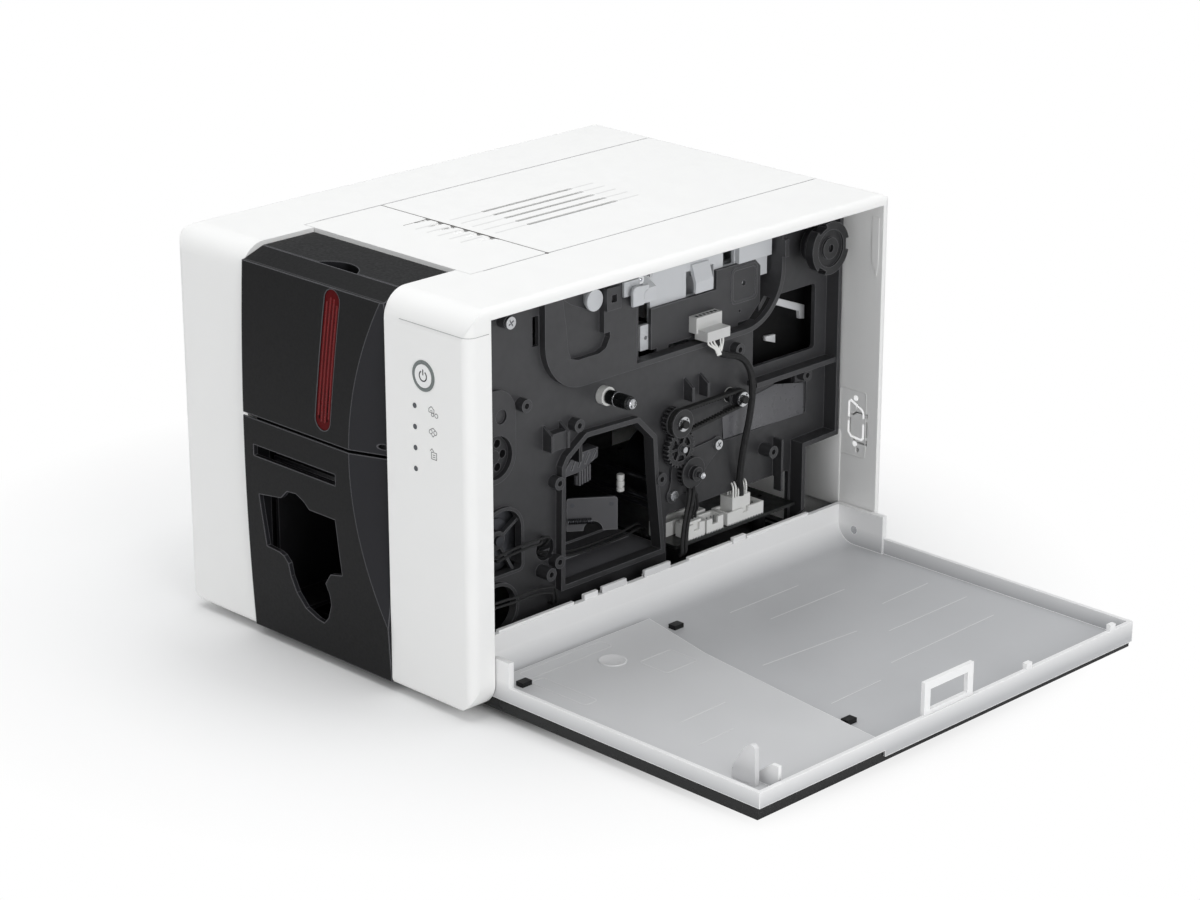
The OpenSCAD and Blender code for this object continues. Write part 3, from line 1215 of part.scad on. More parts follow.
ring_w = 1.6;
module button_ring() {
    color([0.45, 0.45, 0.47]) difference() {
        rod_y(front_y - 0.3, front_y + wall + 2, [button_x, button_z], button_d / 2);
        rod_y(front_y - 1, front_y + wall + 3, [button_x, button_z], button_d / 2 - ring_w);
    }
}
module power_button() {
    r = button_d / 2 - ring_w - 0.15;
    color([0.85, 0.85, 0.86]) {
        rod_y(front_y - 0.4, front_y + wall + 3.6, [button_x, button_z], r);
        rod_y(front_y + wall + 2.05, front_y + wall + 3.6, [button_x, button_z], r + 1.4);
    }
}
button_board_y = front_y + wall + 7;
module button_switch() {
    y0 = front_y + wall + 3.6 + button_travel + run_gap;
    color([0.2, 0.2, 0.2]) {
        block([button_x - 3, y0 + 1, button_z - 3], [button_x + 3, button_board_y, button_z + 3]);
        rod_y(y0, y0 + 1 + eps, [button_x, button_z], 1.7);
    }
}
module button_board() {
    color([0.12, 0.3, 0.2])
        block([light_x - 8, button_board_y, light_z - 38], [button_x + 9, button_board_y + 1.6, button_z + 10]);
}
module status_light_pipes() {
    color([0.5, 0.52, 0.55]) for (i = [0 : 3])
        rod_y(front_y - 0.1, button_board_y, [light_x, light_z - i * light_pitch], light_r);
}

// ---------- side door ----------

// Lays the door down from its shut place about the hinge
module laid_open() {
    translate([hinge_x, 0, hinge_z]) rotate([0, 90, 0]) translate([-hinge_x, 0, -hinge_z]) children();
}
// Section of the shut door: an upright skin that curls under the chassis
module door_section(out, t) {
    x = side_x - out;
    difference() {
        corner_rect(flange_x0 - edge_r, out, x, door_z1, [0, edge_r - out, 0, 0]);
        corner_rect(flange_x0 - edge_r - 1, out + t, x - t, door_z1 + 1, [0, edge_r - out - t, 0, 0]);
        translate([flange_x0 - 2 * edge_r, -1]) square([2 * edge_r, door_z1 + 2]);
    }
}
skin_t = 2.5;
// plan of the door's front part, where the outer panel is thick, seen on the shut door as [y, z]
front_part = [[door_y0 - 1, 14], [-18, 14], [-30, 60], [-38, 120], [-46, door_z1 + 1], [door_y0 - 1, door_z1 + 1]];

module side_door() {
    rim_x = side_x - skin_t - door_rim;
    color([0.72, 0.72, 0.73]) laid_open() difference() {
        union() {
            along_y(door_y0, door_y1) door_section(0, skin_t);
            // the front part of the skin is stepped in
            along_x(side_x - door_front_step - skin_t, side_x - skin_t + eps) polygon(front_part_in);
            // rims at front, back and top
            for (y = [door_y0, door_y1 - 2])
                block([rim_x, y, 12], [side_x - 1, y + 2, door_z1]);
            block([rim_x, door_y0, door_z1 - 2], [side_x - 1, door_y1, door_z1]);
            // ears at the hinge
            for (y = [door_y0, door_y1 - ear_t]) along_y(y, y + ear_t)
                polygon([[flange_x0, 1], [side_x - 8, 1], [side_x - 1, 10], [side_x - 1, 32], [side_x - 22.5, 32],
                    [side_x - 22.5, 23], [flange_x0, 23]]);
            // tabs along the end of the curl, as [start, end, height]
            for (t = [[-106, -57, 1.2], [-50, -41, tab_h], [-38, -21, 1.2], [-9, 9, 1.2], [22, 53, 1.2],
                [54, 63, tab_h], [64, 110, 1.2]])
                block([flange_x0 - t[2], t[0], 0], [flange_x0 + 1, t[1], skin_t - 0.5]);
            // latch loop and posts on the top rim
            difference() {
                block([rim_x - 16, -18.7, door_z1 - 3], [rim_x + 4, 15.6, door_z1 - 0.8]);
                block([rim_x - 12, -14.7, door_z1 - 4], [rim_x - 2, 11.6, door_z1 + 1]);
            }
            for (y = [54, 118]) block([rim_x - 3, y, door_z1 - 2.5], [side_x - 1, y + 4, door_z1]);
            // stiffening fin near the front top corner
            along_y(-112, -110) polygon([[side_x - 2, door_z1 - 26], [side_x - 16, door_z1 - 8],
                [side_x - 16, door_z1 - 4], [side_x - 2, door_z1 - 4]]);
        }
        // recess outside for the thick part of the outer panel
        along_x(side_x - door_front_step, side_x + 1) polygon(front_part);
        for (y = [door_y0 - 1, door_y1 - ear_t - 1])
            rod_y(y, y + ear_t + 2, [hinge_x, hinge_z], door_pin_r + run_gap);
    }
}
front_part_in = [[door_y0, 12], [-16, 12], [-27.5, 60], [-35.5, 120], [-43.5, door_z1], [door_y0, door_z1]];

module door_panel() {
    color([0.1, 0.1, 0.1]) laid_open() {
        along_x(side_x, side_x + door_panel_t) polygon([[door_y0, 14], [door_y1 - 1, 14],
            [door_y1 - 1, door_z1 - 1], [door_y0, door_z1 - 1]]);
        along_x(side_x - door_front_step, side_x + eps) polygon(front_part_fill);
    }
}
front_part_fill = [[door_y0, 14.2], [-18.2, 14.2], [-30.2, 60], [-38.2, 120], [-46.2, door_z1 - 1], [door_y0, door_z1 - 1]];
// clips of the outer panel that show through the skin, as [y, z, 1 in the front part] on the shut door
clip_places = [[-10, 24, 0], [-113, 26, 1], [-34, 154, 0], [-110, 158, 1]];
module door_clips() {
    color([0.06, 0.06, 0.06]) laid_open() for (p = clip_places) {
        x = side_x - skin_t - (p[2] == 1 ? door_front_step : 0);
        block([x - 2.2, p[0] - 3, p[1] - 2.2], [x, p[0] + 3, p[1] + 2.2]);
    }
}
module door_hinge_pins() {
    color("silver") {
        rod_y(open_y0 - wall, door_y0 + ear_t, [hinge_x, hinge_z], door_pin_r);
        rod_y(door_y1 - ear_t, open_y1 + wall, [hinge_x, hinge_z], door_pin_r);
    }
}

module rear_sockets() {
    y1 = back_y - 1.5;
    z0 = board_z + board_t;
    color([0.12, 0.12, 0.12]) difference() {
        block([socket_x0 + fit_gap, y1 - 15, z0], [socket_x1 - fit_gap, y1, socket_z1 - fit_gap]);
        block([socket_x0 + 4, y1 - 10, z0 + 5], [socket_x0 + 16, y1 + 1, z0 + 15]);
        rod_y(y1 - 10, y1 + 1, [socket_x1 - 9, z0 + 10], 4);
    }
}

housing();
base_tray();
rubber_feet();
front_panel();
feeder_hood();
level_window();
hood_hinge_pins();
top_plate();
front_top_cover();
ribbon_lid();
lid_hinge_pins();
printhead_carrier();
printhead();
right_chassis_plate();
left_chassis_plate();
card_guide();
card_feeder_tray();
card_hopper();
supply_hub();
supply_spool();
takeup_spool();
transport_roller();
platen_roller();
cleaning_roller();
cleaning_roller_collar();
shaft_bushes();
belt_pulley();
small_pulley();
pulley_clip();
small_pulley_clip();
timing_belt();
idler_gear();
idler_post();
motor_gear();
feed_motor();
motor_plate();
motor_screws();
feeder_motor();
feeder_disc();
head_bracket();
sensor_board();
sensor_connector();
main_board();
board_connectors();
board_plugs();
sensor_cable();
motor_cable();
feeder_wires();
chassis_screws();
power_button();
button_ring();
button_switch();
button_board();
status_light_pipes();
side_door();
door_panel();
door_clips();
door_hinge_pins();
rear_sockets();
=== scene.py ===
"""Looks of the plastic-card printer: materials, small pieces, floor, light and camera."""
import json
import math
from contextlib import contextmanager

import bmesh
import bpy
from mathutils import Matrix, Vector


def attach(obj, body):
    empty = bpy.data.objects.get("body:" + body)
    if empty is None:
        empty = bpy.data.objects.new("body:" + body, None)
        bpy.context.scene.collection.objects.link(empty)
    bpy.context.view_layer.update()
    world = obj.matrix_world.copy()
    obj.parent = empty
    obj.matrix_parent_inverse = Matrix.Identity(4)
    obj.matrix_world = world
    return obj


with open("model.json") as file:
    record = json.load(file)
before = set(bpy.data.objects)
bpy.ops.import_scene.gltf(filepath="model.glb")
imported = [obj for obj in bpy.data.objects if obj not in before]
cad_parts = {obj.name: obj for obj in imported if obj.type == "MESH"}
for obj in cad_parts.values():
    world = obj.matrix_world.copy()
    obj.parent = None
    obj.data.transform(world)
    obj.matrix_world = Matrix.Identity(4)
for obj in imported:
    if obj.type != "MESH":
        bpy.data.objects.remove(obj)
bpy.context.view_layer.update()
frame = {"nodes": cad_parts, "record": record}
NODES = frame["nodes"]
MM = 0.001
WHITE = (1, 1, 1, 1)


# ---------- wiring of materials ----------

def linear(hexa):
    """Linear colour of a six-digit sRGB colour."""
    values = [int(hexa[i:i + 2], 16) / 255 for i in (0, 2, 4)]
    return tuple(v / 12.92 if v <= 0.04045 else ((v + 0.055) / 1.055) ** 2.4
                 for v in values) + (1.0,)


def scaled(colour, factor):
    """The same colour, darker or lighter."""
    return tuple(min(1.0, c * factor) for c in colour[:3]) + (1.0,)


def fill(node, **values):
    """Set properties of a node, or its sockets where no property has that name."""
    for key, value in values.items():
        if hasattr(node, key):
            setattr(node, key, value)
        else:
            node.inputs[key.replace("_", " ")].default_value = value
    return node


class Build:
    """A material being wired up, with its Principled shader as `shader`."""

    def __init__(self, name):
        self.material = bpy.data.materials.new(name)
        self.material.use_nodes = True
        self.tree = self.material.node_tree
        self.tree.nodes.clear()
        self.shader = self.node("ShaderNodeBsdfPrincipled")
        self.output = self.node("ShaderNodeOutputMaterial")
        self.link(self.shader.outputs[0], self.output.inputs["Surface"])
        self.place = self.node("ShaderNodeTexCoord").outputs["Object"]

    def node(self, kind, **values):
        """New node with the given properties and socket values."""
        return fill(self.tree.nodes.new(kind), **values)

    def link(self, source, target):
        """Wire an output to an input."""
        self.tree.links.new(source, target)

    def axis(self, source, name):
        """One coordinate of a vector."""
        split = self.node("ShaderNodeSeparateXYZ")
        self.link(source, split.inputs[0])
        return split.outputs[name]

    def noise(self, scale, detail=2.0, rough=0.5, stretch=None):
        """Noise in the piece's own place, drawn out where a factor of `stretch` is small."""
        texture = self.node("ShaderNodeTexNoise", Scale=scale, Detail=detail, Roughness=rough)
        source = self.place
        if stretch:
            mapping = self.node("ShaderNodeMapping", Scale=stretch)
            self.link(self.place, mapping.inputs["Vector"])
            source = mapping.outputs[0]
        self.link(source, texture.inputs["Vector"])
        return texture.outputs["Fac"]

    def span(self, value, low, high, from_low=0.3, from_high=0.7):
        """The value between from_low and from_high, spread over low to high."""
        spread = self.node("ShaderNodeMapRange", From_Min=from_low, From_Max=from_high,
                           To_Min=low, To_Max=high)
        self.link(value, spread.inputs["Value"])
        return spread.outputs[0]

    def blend(self, factor, first, second):
        """Mix of two colours; the first is fixed or comes from another node."""
        mix = self.node("ShaderNodeMix", data_type="RGBA")
        self.link(factor, mix.inputs[0])
        if isinstance(first, tuple):
            mix.inputs[6].default_value = first
        else:
            self.link(first, mix.inputs[6])
        mix.inputs[7].default_value = second
        return mix.outputs[2]

    def edges(self, radius=0.5):
        """1 on sharp edges and 0 on flat faces."""
        bevel = self.node("ShaderNodeBevel", samples=6, Radius=radius * MM)
        apart = self.node("ShaderNodeVectorMath", operation="DISTANCE")
        self.link(bevel.outputs[0], apart.inputs[0])
        self.link(self.node("ShaderNodeNewGeometry").outputs["Normal"], apart.inputs[1])
        return self.span(apart.outputs["Value"], 0, 1, 0.02, 0.2)

    def base(self, colour):
        """Colour of the surface."""
        self.link(colour, self.shader.inputs["Base Color"])

    def roughness(self, pattern, low, high):
        """Roughness that follows a pattern from low to high."""
        self.link(self.span(pattern, low, high), self.shader.inputs["Roughness"])

    def relief(self, heights, edge):
        """Bump from (height, strength, distance in mm) on top of edges rounded by `edge` mm."""
        normal = self.node("ShaderNodeBevel", samples=4, Radius=edge * MM).outputs[0]
        for height, strength, distance in heights:
            bump = self.node("ShaderNodeBump", Strength=strength, Distance=distance * MM)
            self.link(height, bump.inputs["Height"])
            self.link(normal, bump.inputs["Normal"])
            normal = bump.outputs[0]
        self.link(normal, self.shader.inputs["Normal"])


# ---------- kinds of material ----------

def plastic(name, hexa, rough, grain=0.06, mottle=0.04, edge=0.3, spec=0.5, coat=0.0,
            edge_highlight=None, glow=0.0):
    """Moulded plastic: spark-eroded grain of `grain` mm, faint flow mottle, softly rounded
    edges, painted edge highlights in a second colour, and a painted glow in place of light
    from behind where `glow` gives it."""
    b = Build(name)
    colour = linear(hexa)
    flow, patches = b.noise(38, 4), b.noise(160, 3)
    grains, waves = b.noise(1400, 1.0), b.noise(90, 2)
    base = b.blend(flow, scaled(colour, 1 - mottle), scaled(colour, 1 + mottle))
    # painted highlight: edges lighter in a second colour, standing in for light caught on their
    # rounding
    if edge_highlight:
        base = b.blend(b.edges(), base, linear(edge_highlight))
    b.base(base)
    b.roughness(patches, rough - 0.05, rough + 0.06)
    fill(b.shader, Specular_IOR_Level=spec, Coat_Weight=coat)
    # painted glow: the part shines though it is no lamp, standing in for light through it from
    # behind
    if glow:
        fill(b.shader, Emission_Color=WHITE, Emission_Strength=glow)
    b.relief([(grains, 0.35, grain), (waves, 0.08, 0.15)], edge)
    return b.material


def front_plastic(name):
    """Black grained plastic with painted light: faces turned towards +x are painted lighter than
    its front, as the lamp on the right lights them, and its edges carry a painted highlight.
    """
    b = Build(name)
    colour = linear("141415")
    flow, patches, grains = b.noise(38, 4), b.noise(700, 2), b.noise(1400, 1.5)
    base = b.blend(flow, scaled(colour, 0.94), scaled(colour, 1.06))
    # painted light: the lighter colour follows the normal's x, so faces turned to the right lamp
    # look lit
    painted_side_light = b.axis(b.node("ShaderNodeTexCoord").outputs["Normal"], "X")
    base = b.blend(b.span(painted_side_light, 0, 1, 0.1, 0.3), base, linear("27272a"))
    # painted highlight: edges lighter, standing in for light caught on their rounding
    b.base(b.blend(b.edges(0.7), base, linear("5e5e61")))
    b.roughness(patches, 0.4, 0.52)
    fill(b.shader, Specular_IOR_Level=0.14)
    b.relief([(grains, 0.5, 0.05)], 0.4)
    return b.material


def door_plastic(name):
    """Thin light grey plastic with painted light: darker on the floor, painted lighter above it
    as the rims catch the light, and painted highlights on its edges.
    """
    b = Build(name)
    clouds, patches = b.noise(9, 2), b.noise(60, 3)
    grains, waves = b.noise(900, 1.0), b.noise(14, 2)
    floor = b.blend(clouds, linear("b0b1b3"), linear("bebfc1"))
    # painted light: lighter above the floor, where the rims catch the light
    painted_rim_light = b.span(b.axis(b.place, "Z"), 0, 1, 5.2 * MM, 15 * MM)
    base = b.blend(painted_rim_light, floor, linear("eeeeee"))
    # painted highlight: edges lighter still, standing in for light caught on their rounding
    b.base(b.blend(b.edges(0.6), base, linear("f6f6f6")))
    b.roughness(patches, 0.3, 0.42)
    b.relief([(grains, 0.25, 0.03), (waves, 0.1, 0.6)], 0.4)
    return b.material


def metal(name, hexa, rough, brushed=(1, 0.04, 0.04), scratch=0.25):
    """Bare metal with turning or rolling marks along one direction."""
    b = Build(name)
    colour = linear(hexa)
    marks, clouds = b.noise(2600, 2, 0.6, brushed), b.noise(220, 3)
    b.base(b.blend(clouds, scaled(colour, 0.9), scaled(colour, 1.06)))
    fill(b.shader, Metallic=1.0)
    b.roughness(marks, rough - 0.07, rough + 0.1)
    b.relief([(marks, scratch, 0.02)], 0.15)
    return b.material


def painted(name, hexa, rough, shade=False):
    """Powder-coated sheet with a fine orange-peel surface and painted edge highlights; `shade`
    adds painted shade towards its foot."""
    b = Build(name)
    colour = linear(hexa)
    clouds, patches, peel = b.noise(70, 4), b.noise(240, 3), b.noise(700, 2)
    base = b.blend(clouds, scaled(colour, 0.85), scaled(colour, 1.2))
    if shade:
        # painted shade: darker towards the bottom, where the strip in front shades the plate
        painted_shade_low = b.span(b.axis(b.place, "Z"), 0.85, 0, 30 * MM, 125 * MM)
        base = b.blend(painted_shade_low, base, scaled(colour, 0.4))
    # painted highlight: edges lighter, standing in for light caught on their rounding
    b.base(b.blend(b.edges(0.35), base, linear("5c5c5f")))
    b.roughness(patches, rough - 0.06, rough + 0.08)
    b.relief([(peel, 0.3, 0.05)], 0.25)
    return b.material


def rubber(name, hexa):
    """Dull rubber or soft cable sleeve."""
    b = Build(name)
    colour = linear(hexa)
    clouds, patches, grains = b.noise(120, 4), b.noise(400, 2), b.noise(1800, 2)
    b.base(b.blend(clouds, scaled(colour, 0.8), scaled(colour, 1.25)))
    b.roughness(patches, 0.62, 0.8)
    b.relief([(grains, 0.4, 0.05)], 0.3)
    return b.material


def tinted_window(name):
    """Dark red plastic of the level window."""
    b = Build(name)
    clouds, waves = b.noise(60, 3), b.noise(900, 1)
    base = b.blend(clouds, linear("350103"), linear("5c0206"))
    b.base(b.blend(b.edges(0.5), base, linear("20080a")))
    fill(b.shader, Roughness=0.3, Specular_IOR_Level=0.06)
    b.relief([(waves, 0.1, 0.02)], 0.2)
    return b.material


def circuit_board(name, tone, under):
    """Solder mask with faint copper tracks under it."""
    b = Build(name)
    tracks = b.node("ShaderNodeTexVoronoi", feature="DISTANCE_TO_EDGE", distance="MANHATTAN",
                    Scale=260)
    b.link(b.place, tracks.inputs["Vector"])
    b.base(b.blend(b.span(tracks.outputs[0], 0, 1, 0.05, 0.09), linear(tone), linear(under)))
    b.roughness(b.noise(300, 2), 0.3, 0.45)
    b.relief([(tracks.outputs[0], 0.2, 0.05)], 0.1)
    return b.material


def wound_film(name):
    """Ribbon film on its core: fine turns along the axis and a silky shine."""
    b = Build(name)
    turns = b.noise(2200, 2, 0.6, (1, 0.02, 0.02))
    b.base(b.blend(turns, linear("0c0c10"), linear("2a2a34")))
    b.roughness(turns, 0.18, 0.34)
    b.relief([(turns, 0.2, 0.02)], 0.2)
    return b.material


# ---------- materials of the slots, and of single pieces ----------

MATERIALS = {
    "white_shell": plastic("white moulded plastic", "f0f0ef", 0.46, 0.035, mottle=0.008,
                           edge=0.45, spec=0.32),
    "black_front": front_plastic("black grained plastic"),
    "black_gloss": plastic("black smooth plastic", "0e0f10", 0.24, 0.01, mottle=0.05, edge=0.4,
                           spec=0.3, coat=0.05),
    "grey_door": door_plastic("grey moulded plastic"),
    "chassis_black": painted("black coated chassis", "3a3a3c", 0.45, shade=True),
    "inner_black": plastic("black inner plastic", "1f1f21", 0.42, 0.05, mottle=0.08,
                           edge_highlight="565658"),
    "light_grey": plastic("light grey plastic", "c8cacd", 0.42, 0.04, mottle=0.03),
    "window_red": tinted_window("dark red window"),
    "rubber_black": rubber("black rubber", "1c1c1c"),
    "ivory": plastic("natural nylon", "dcdcda", 0.38, 0.03, mottle=0.03, edge=0.2),
    "steel": metal("bright steel", "c9cacc", 0.25),
    "board_green": circuit_board("green circuit board", "1c4a2c", "0f2c1c"),
    "board_dark": circuit_board("dark circuit board", "1b1d1c", "101211"),
    "wire_black": rubber("black cable sleeve", "171718"),
    "ribbon": wound_film("wound ribbon film"),
    "metal_dark": metal("dark motor can", "55565a", 0.38, brushed=(0.04, 1, 1)),
    "clear_guide": plastic("smoked light guide", "4a4d52", 0.14, 0.01, edge=0.1),
}
WHITE_CAP = plastic("white button cap", "ececec", 0.35, 0.02, mottle=0.01)
RING_GREY = plastic("grey button ring", "6d7473", 0.3, 0.01, mottle=0.03, edge=0.2)
INK = plastic("grey print", "6a6a6c", 0.6, 0.01, mottle=0.05, edge=0.02)
WIRE_WHITE = plastic("white wire", "e9e9e6", 0.4, 0.02, mottle=0.03, edge=0.05)
BRIGHT = metal("polished steel", "e6e7ea", 0.14, scratch=0.1)
RED_RIDGE = plastic("red ridges", "6a0306", 0.2, 0.01, mottle=0.1, edge=0.1, spec=0.35)
PLUG_WHITE = plastic("white plug housing", "cdcdcc", 0.4, 0.02, mottle=0.02, edge=0.15)
CLIP_BLACK = plastic("black clip", "0a0a0b", 0.4, 0.02, mottle=0.05, edge=0.2, spec=0.3)
SHEEN = painted("satin plate", "5a5a5d", 0.3)
BOARD_GREY = plastic("matt sensor board", "3c3c3e", 0.5, 0.03, mottle=0.08, edge=0.15,
                     edge_highlight="626265")
DEEP_GREY = plastic("grey inner plastic", "4c4c4f", 0.5, 0.04, mottle=0.06, edge=0.2,
                    edge_highlight="7a7a7d")
DEEP_BLACK = plastic("black inner wall", "101011", 0.6, 0.03, mottle=0.1, edge=0.2, spec=0.2)
DIM_WHITE = plastic("light inner plastic", "d4d5d7", 0.45, 0.04, mottle=0.02, edge=0.2)
LINE_DARK = plastic("dark seam", "4a4644", 0.6, 0.01, edge=0.05)
LINE_GREY = plastic("parting line", "a9a9aa", 0.6, 0.01, edge=0.05)
# painted shade: grooves drawn as grey stripes on the white top, standing in for shade in their
# hollow
GROOVE_SHADE = plastic("painted shade of shallow groove", "dededd", 0.5, 0.01, mottle=0.01, edge=0.05)
# lighter copy of the door's grey: painted light on the raised marks, the ear and the tabs, where
# they catch the light
LIT_DOOR_GREY = plastic("raised door marks", "d6d6d7", 0.42, 0.02, mottle=0.02, edge=0.2)
# painted glow: the webs shine, standing in for light seen through them from behind
WEB_WHITE = plastic("thin web with painted glow", "f6f6f6", 0.5, 0.01, mottle=0.01,
                    edge=0.05, glow=0.45)


def show(node, material):
    """Give a CAD node its material."""
    NODES[node].data.materials.clear()
    NODES[node].data.materials.append(material)


for part in frame["record"]["subparts"]:
    show(part["node"], MATERIALS[part["material_slot"]])
show("power_button", WHITE_CAP)
show("button_ring", RING_GREY)
show("sensor_board", BOARD_GREY)
show("sensor_connector", PLUG_WHITE)
show("door_clips", CLIP_BLACK)


# ---------- mesh helpers: coordinates in millimetres ----------

@contextmanager
def piece(name, body, slot, material=None):
    """Empty mesh to fill in; then it is a named piece in metres that rides on a body, in its
    slot's material unless another is given."""
    bm = bmesh.new()
    yield bm
    bmesh.ops.recalc_face_normals(bm, faces=bm.faces[:])
    for vertex in bm.verts:
        vertex.co *= MM
    mesh = bpy.data.meshes.new(name)
    bm.to_mesh(mesh)
    bm.free()
    mesh.materials.append(material or MATERIALS[slot])
    for polygon in mesh.polygons:
        polygon.use_smooth = True
    mesh.set_sharp_from_angle(angle=math.radians(35))
    made = bpy.data.objects.new(name, mesh)
    bpy.context.scene.collection.objects.link(made)
    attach(made, body)


def along_x(u, v, h):
    """Plane of y and z, with the height along x."""
    return (h, u, v)


def along_y(u, v, h):
    """Plane of x and z, with the height along y."""
    return (u, h, v)


def along_z(u, v, h):
    """Plane of x and y, with the height along z."""
    return (u, v, h)


def slanted(u, v, h):
    """Plane of the inner holder, which stands at an angle behind the large window."""
    return (45 + 0.6 * u + 0.8 * h, -26.6 + 0.8 * u - 0.6 * h, v)


def arc(centre, radius, start, end, count=24):
    """Points of an arc, with angles in degrees."""
    return [(centre[0] + radius * math.cos(math.radians(start + (end - start) * k / count)),
             centre[1] + radius * math.sin(math.radians(start + (end - start) * k / count)))
            for k in range(count + 1)]


def rounded(low, high, radius):
    """Rounded rectangle outline."""
    x0, y0, x1, y1 = low[0] + radius, low[1] + radius, high[0] - radius, high[1] - radius
    return (arc((x1, y1), radius, 0, 90, 6) + arc((x0, y1), radius, 90, 180, 6)
            + arc((x0, y0), radius, 180, 270, 6) + arc((x1, y0), radius, 270, 360, 6))


def line(start, end):
    """Straight route with a point halfway."""
    return [start, ((start[0] + end[0]) / 2, (start[1] + end[1]) / 2), end]


def smooth_path(points, steps):
    """Catmull-Rom curve through the points."""
    p = [Vector(q) for q in points]
    out = []
    for i in range(len(p) - 1):
        a, b, c, d = p[max(i - 1, 0)], p[i], p[i + 1], p[min(i + 2, len(p) - 1)]
        for step in range(steps):
            t = step / steps
            out.append(0.5 * (2 * b + (c - a) * t + (2 * a - 5 * b + 4 * c - d) * t * t
                              + (3 * b - a - 3 * c + d) * t ** 3))
    out.append(p[-1])
    return out


def soften(bm, owners, bevel):
    """Round the edges of the given faces, or those at the given vertices."""
    edges = [edge for owner in owners
             for edge in (owner.link_edges if isinstance(owner, bmesh.types.BMVert)
                          else owner.edges)]
    bmesh.ops.bevel(bm, geom=list(dict.fromkeys(edges)), offset=bevel, segments=2,
                    profile=0.5, affect="EDGES")


def add_block(bm, low, high, bevel):
    """Block between two corners, with rounded edges."""
    made = bmesh.ops.create_cube(bm, size=1.0)["verts"]
    for vertex in made:
        vertex.co = Vector([(l + h) / 2 + c * (h - l) for l, h, c in zip(low, high, vertex.co)])
    soften(bm, made, bevel)


def add_prism(bm, outline, place, low, high, bevel=0.0):
    """Outline in the plane of `place`, extruded from low to high."""
    bottom = [bm.verts.new(place(u, v, low)) for u, v in outline]
    top = [bm.verts.new(place(u, v, high)) for u, v in outline]
    count = len(outline)
    ends = [bm.faces.new(bottom), bm.faces.new(top[::-1])]
    for i in range(count):
        j = (i + 1) % count
        bm.faces.new((bottom[i], bottom[j], top[j], top[i]))
    if bevel:
        soften(bm, ends, bevel)


def add_rings(bm, rings, closed=False):
    """Skin over rings of equal length, with flat ends unless closed."""
    rows = [[bm.verts.new(p) for p in ring] for ring in rings]
    sides = len(rows[0])
    for i in range(len(rows) if closed else len(rows) - 1):
        a, b = rows[i], rows[(i + 1) % len(rows)]
        for k in range(sides):
            m = (k + 1) % sides
            bm.faces.new((a[k], a[m], b[m], b[k]))
    if not closed:
        bm.faces.new(rows[0][::-1])
        bm.faces.new(rows[-1])


def add_tube(bm, points, radius, sides=10, steps=6):
    """Round wire along a smooth curve."""
    path = smooth_path(points, steps)
    normal = Vector((0, 0, 1))
    rings = []
    for i, point in enumerate(path):
        tangent = (path[min(i + 1, len(path) - 1)] - path[max(i - 1, 0)]).normalized()
        normal = normal - tangent * normal.dot(tangent)
        if normal.length < 1e-4:
            normal = tangent.orthogonal()
        normal.normalize()
        other = tangent.cross(normal)
        rings.append([point + radius * (math.cos(a) * normal + math.sin(a) * other)
                      for a in (2 * math.pi * k / sides for k in range(sides))])
    add_rings(bm, rings)


def add_lathe(bm, centre, place, profile, sides=24):
    """Turned solid: profile rows are (place along the axis, radius)."""
    add_rings(bm, [[place(centre[0] + r * math.cos(a), centre[1] + r * math.sin(a), h)
                    for a in (2 * math.pi * k / sides for k in range(sides))]
                   for h, r in profile])


def add_stripe(bm, points, width, place, low, high, closed=False):
    """Raised line of one width along a flat route."""
    p = [Vector(q) for q in points]
    count = len(p)
    rings = []
    for i in range(count):
        before = p[i] - p[i - 1] if closed or i else p[1] - p[0]
        after = p[(i + 1) % count] - p[i] if closed or i < count - 1 else p[-1] - p[-2]
        before, after = before.normalized(), after.normalized()
        along = before + after
        along = along.normalized() if along.length > 1e-4 else after
        side = Vector((-along.y, along.x)) * (width / 2 / max(0.35, along.dot(after)))
        left, right = p[i] + side, p[i] - side
        rings.append([place(left.x, left.y, low), place(right.x, right.y, low),
                      place(right.x, right.y, high), place(left.x, left.y, high)])
    add_rings(bm, rings, closed)


# ---------- lines, bracket and door ----------

FRONT = -142.5      # y of the white front
TOP = 191.0         # z of the white top


def add_front_lines():
    """Parting line under the right strip's rounded top, and dark rails behind the hood's seam
    and the card pocket."""
    with piece("front_parting_line", "frame", "white_shell", LINE_GREY) as bm:
        route = [(57.5, FRONT)] + arc((97.5, -137.5), 5, -90, 0, 6) + [(102.5, -130.0)]
        add_tube(bm, [(x, y, 180.05) for x, y in route], 0.16, 8, 1)
    with piece("seam_rail", "frame", "inner_black", DEEP_BLACK) as bm:
        add_block(bm, (-64.5, -137.0, 99.0), (27, -136.0, 105.6), 0.2)
        add_block(bm, (-52.1, -136.0, 20.0), (-51.5, -98.0, 104.0), 0.1)


def add_bracket_pieces():
    """Hanging hook, fixing screw and the slots of the upper connector."""
    with piece("bracket_hook", "frame", "light_grey") as bm:
        hook = ([(-16.6, 162.2), (-9.4, 162.1), (-9.4, 165.6)]
                + arc((-7.2, 167.2), 2.0, 200, 90, 5)
                + [(-5.8, 169.4), (-5.9, 171.4), (-14.0, 171.8)]
                + arc((-14.0, 169.2), 2.6, 100, 180, 5))
        add_prism(bm, hook, along_x, 78.2, 80.0, 0.3)
    with piece("bracket_screw", "frame", "steel", BRIGHT) as bm:
        add_lathe(bm, (-5.7, 172.3), along_x,
                  [(72.0, 2.7), (73.8, 2.7), (74.4, 2.1), (74.4, 0.8), (73.6, 0.6)])
    with piece("connector_slots", "frame", "inner_black", DEEP_BLACK) as bm:
        for k in range(6):
            add_block(bm, (69.0, 36.5 + 2.6 * k, 142.6), (71.0, 38.1 + 2.6 * k, 143.86), 0.1)


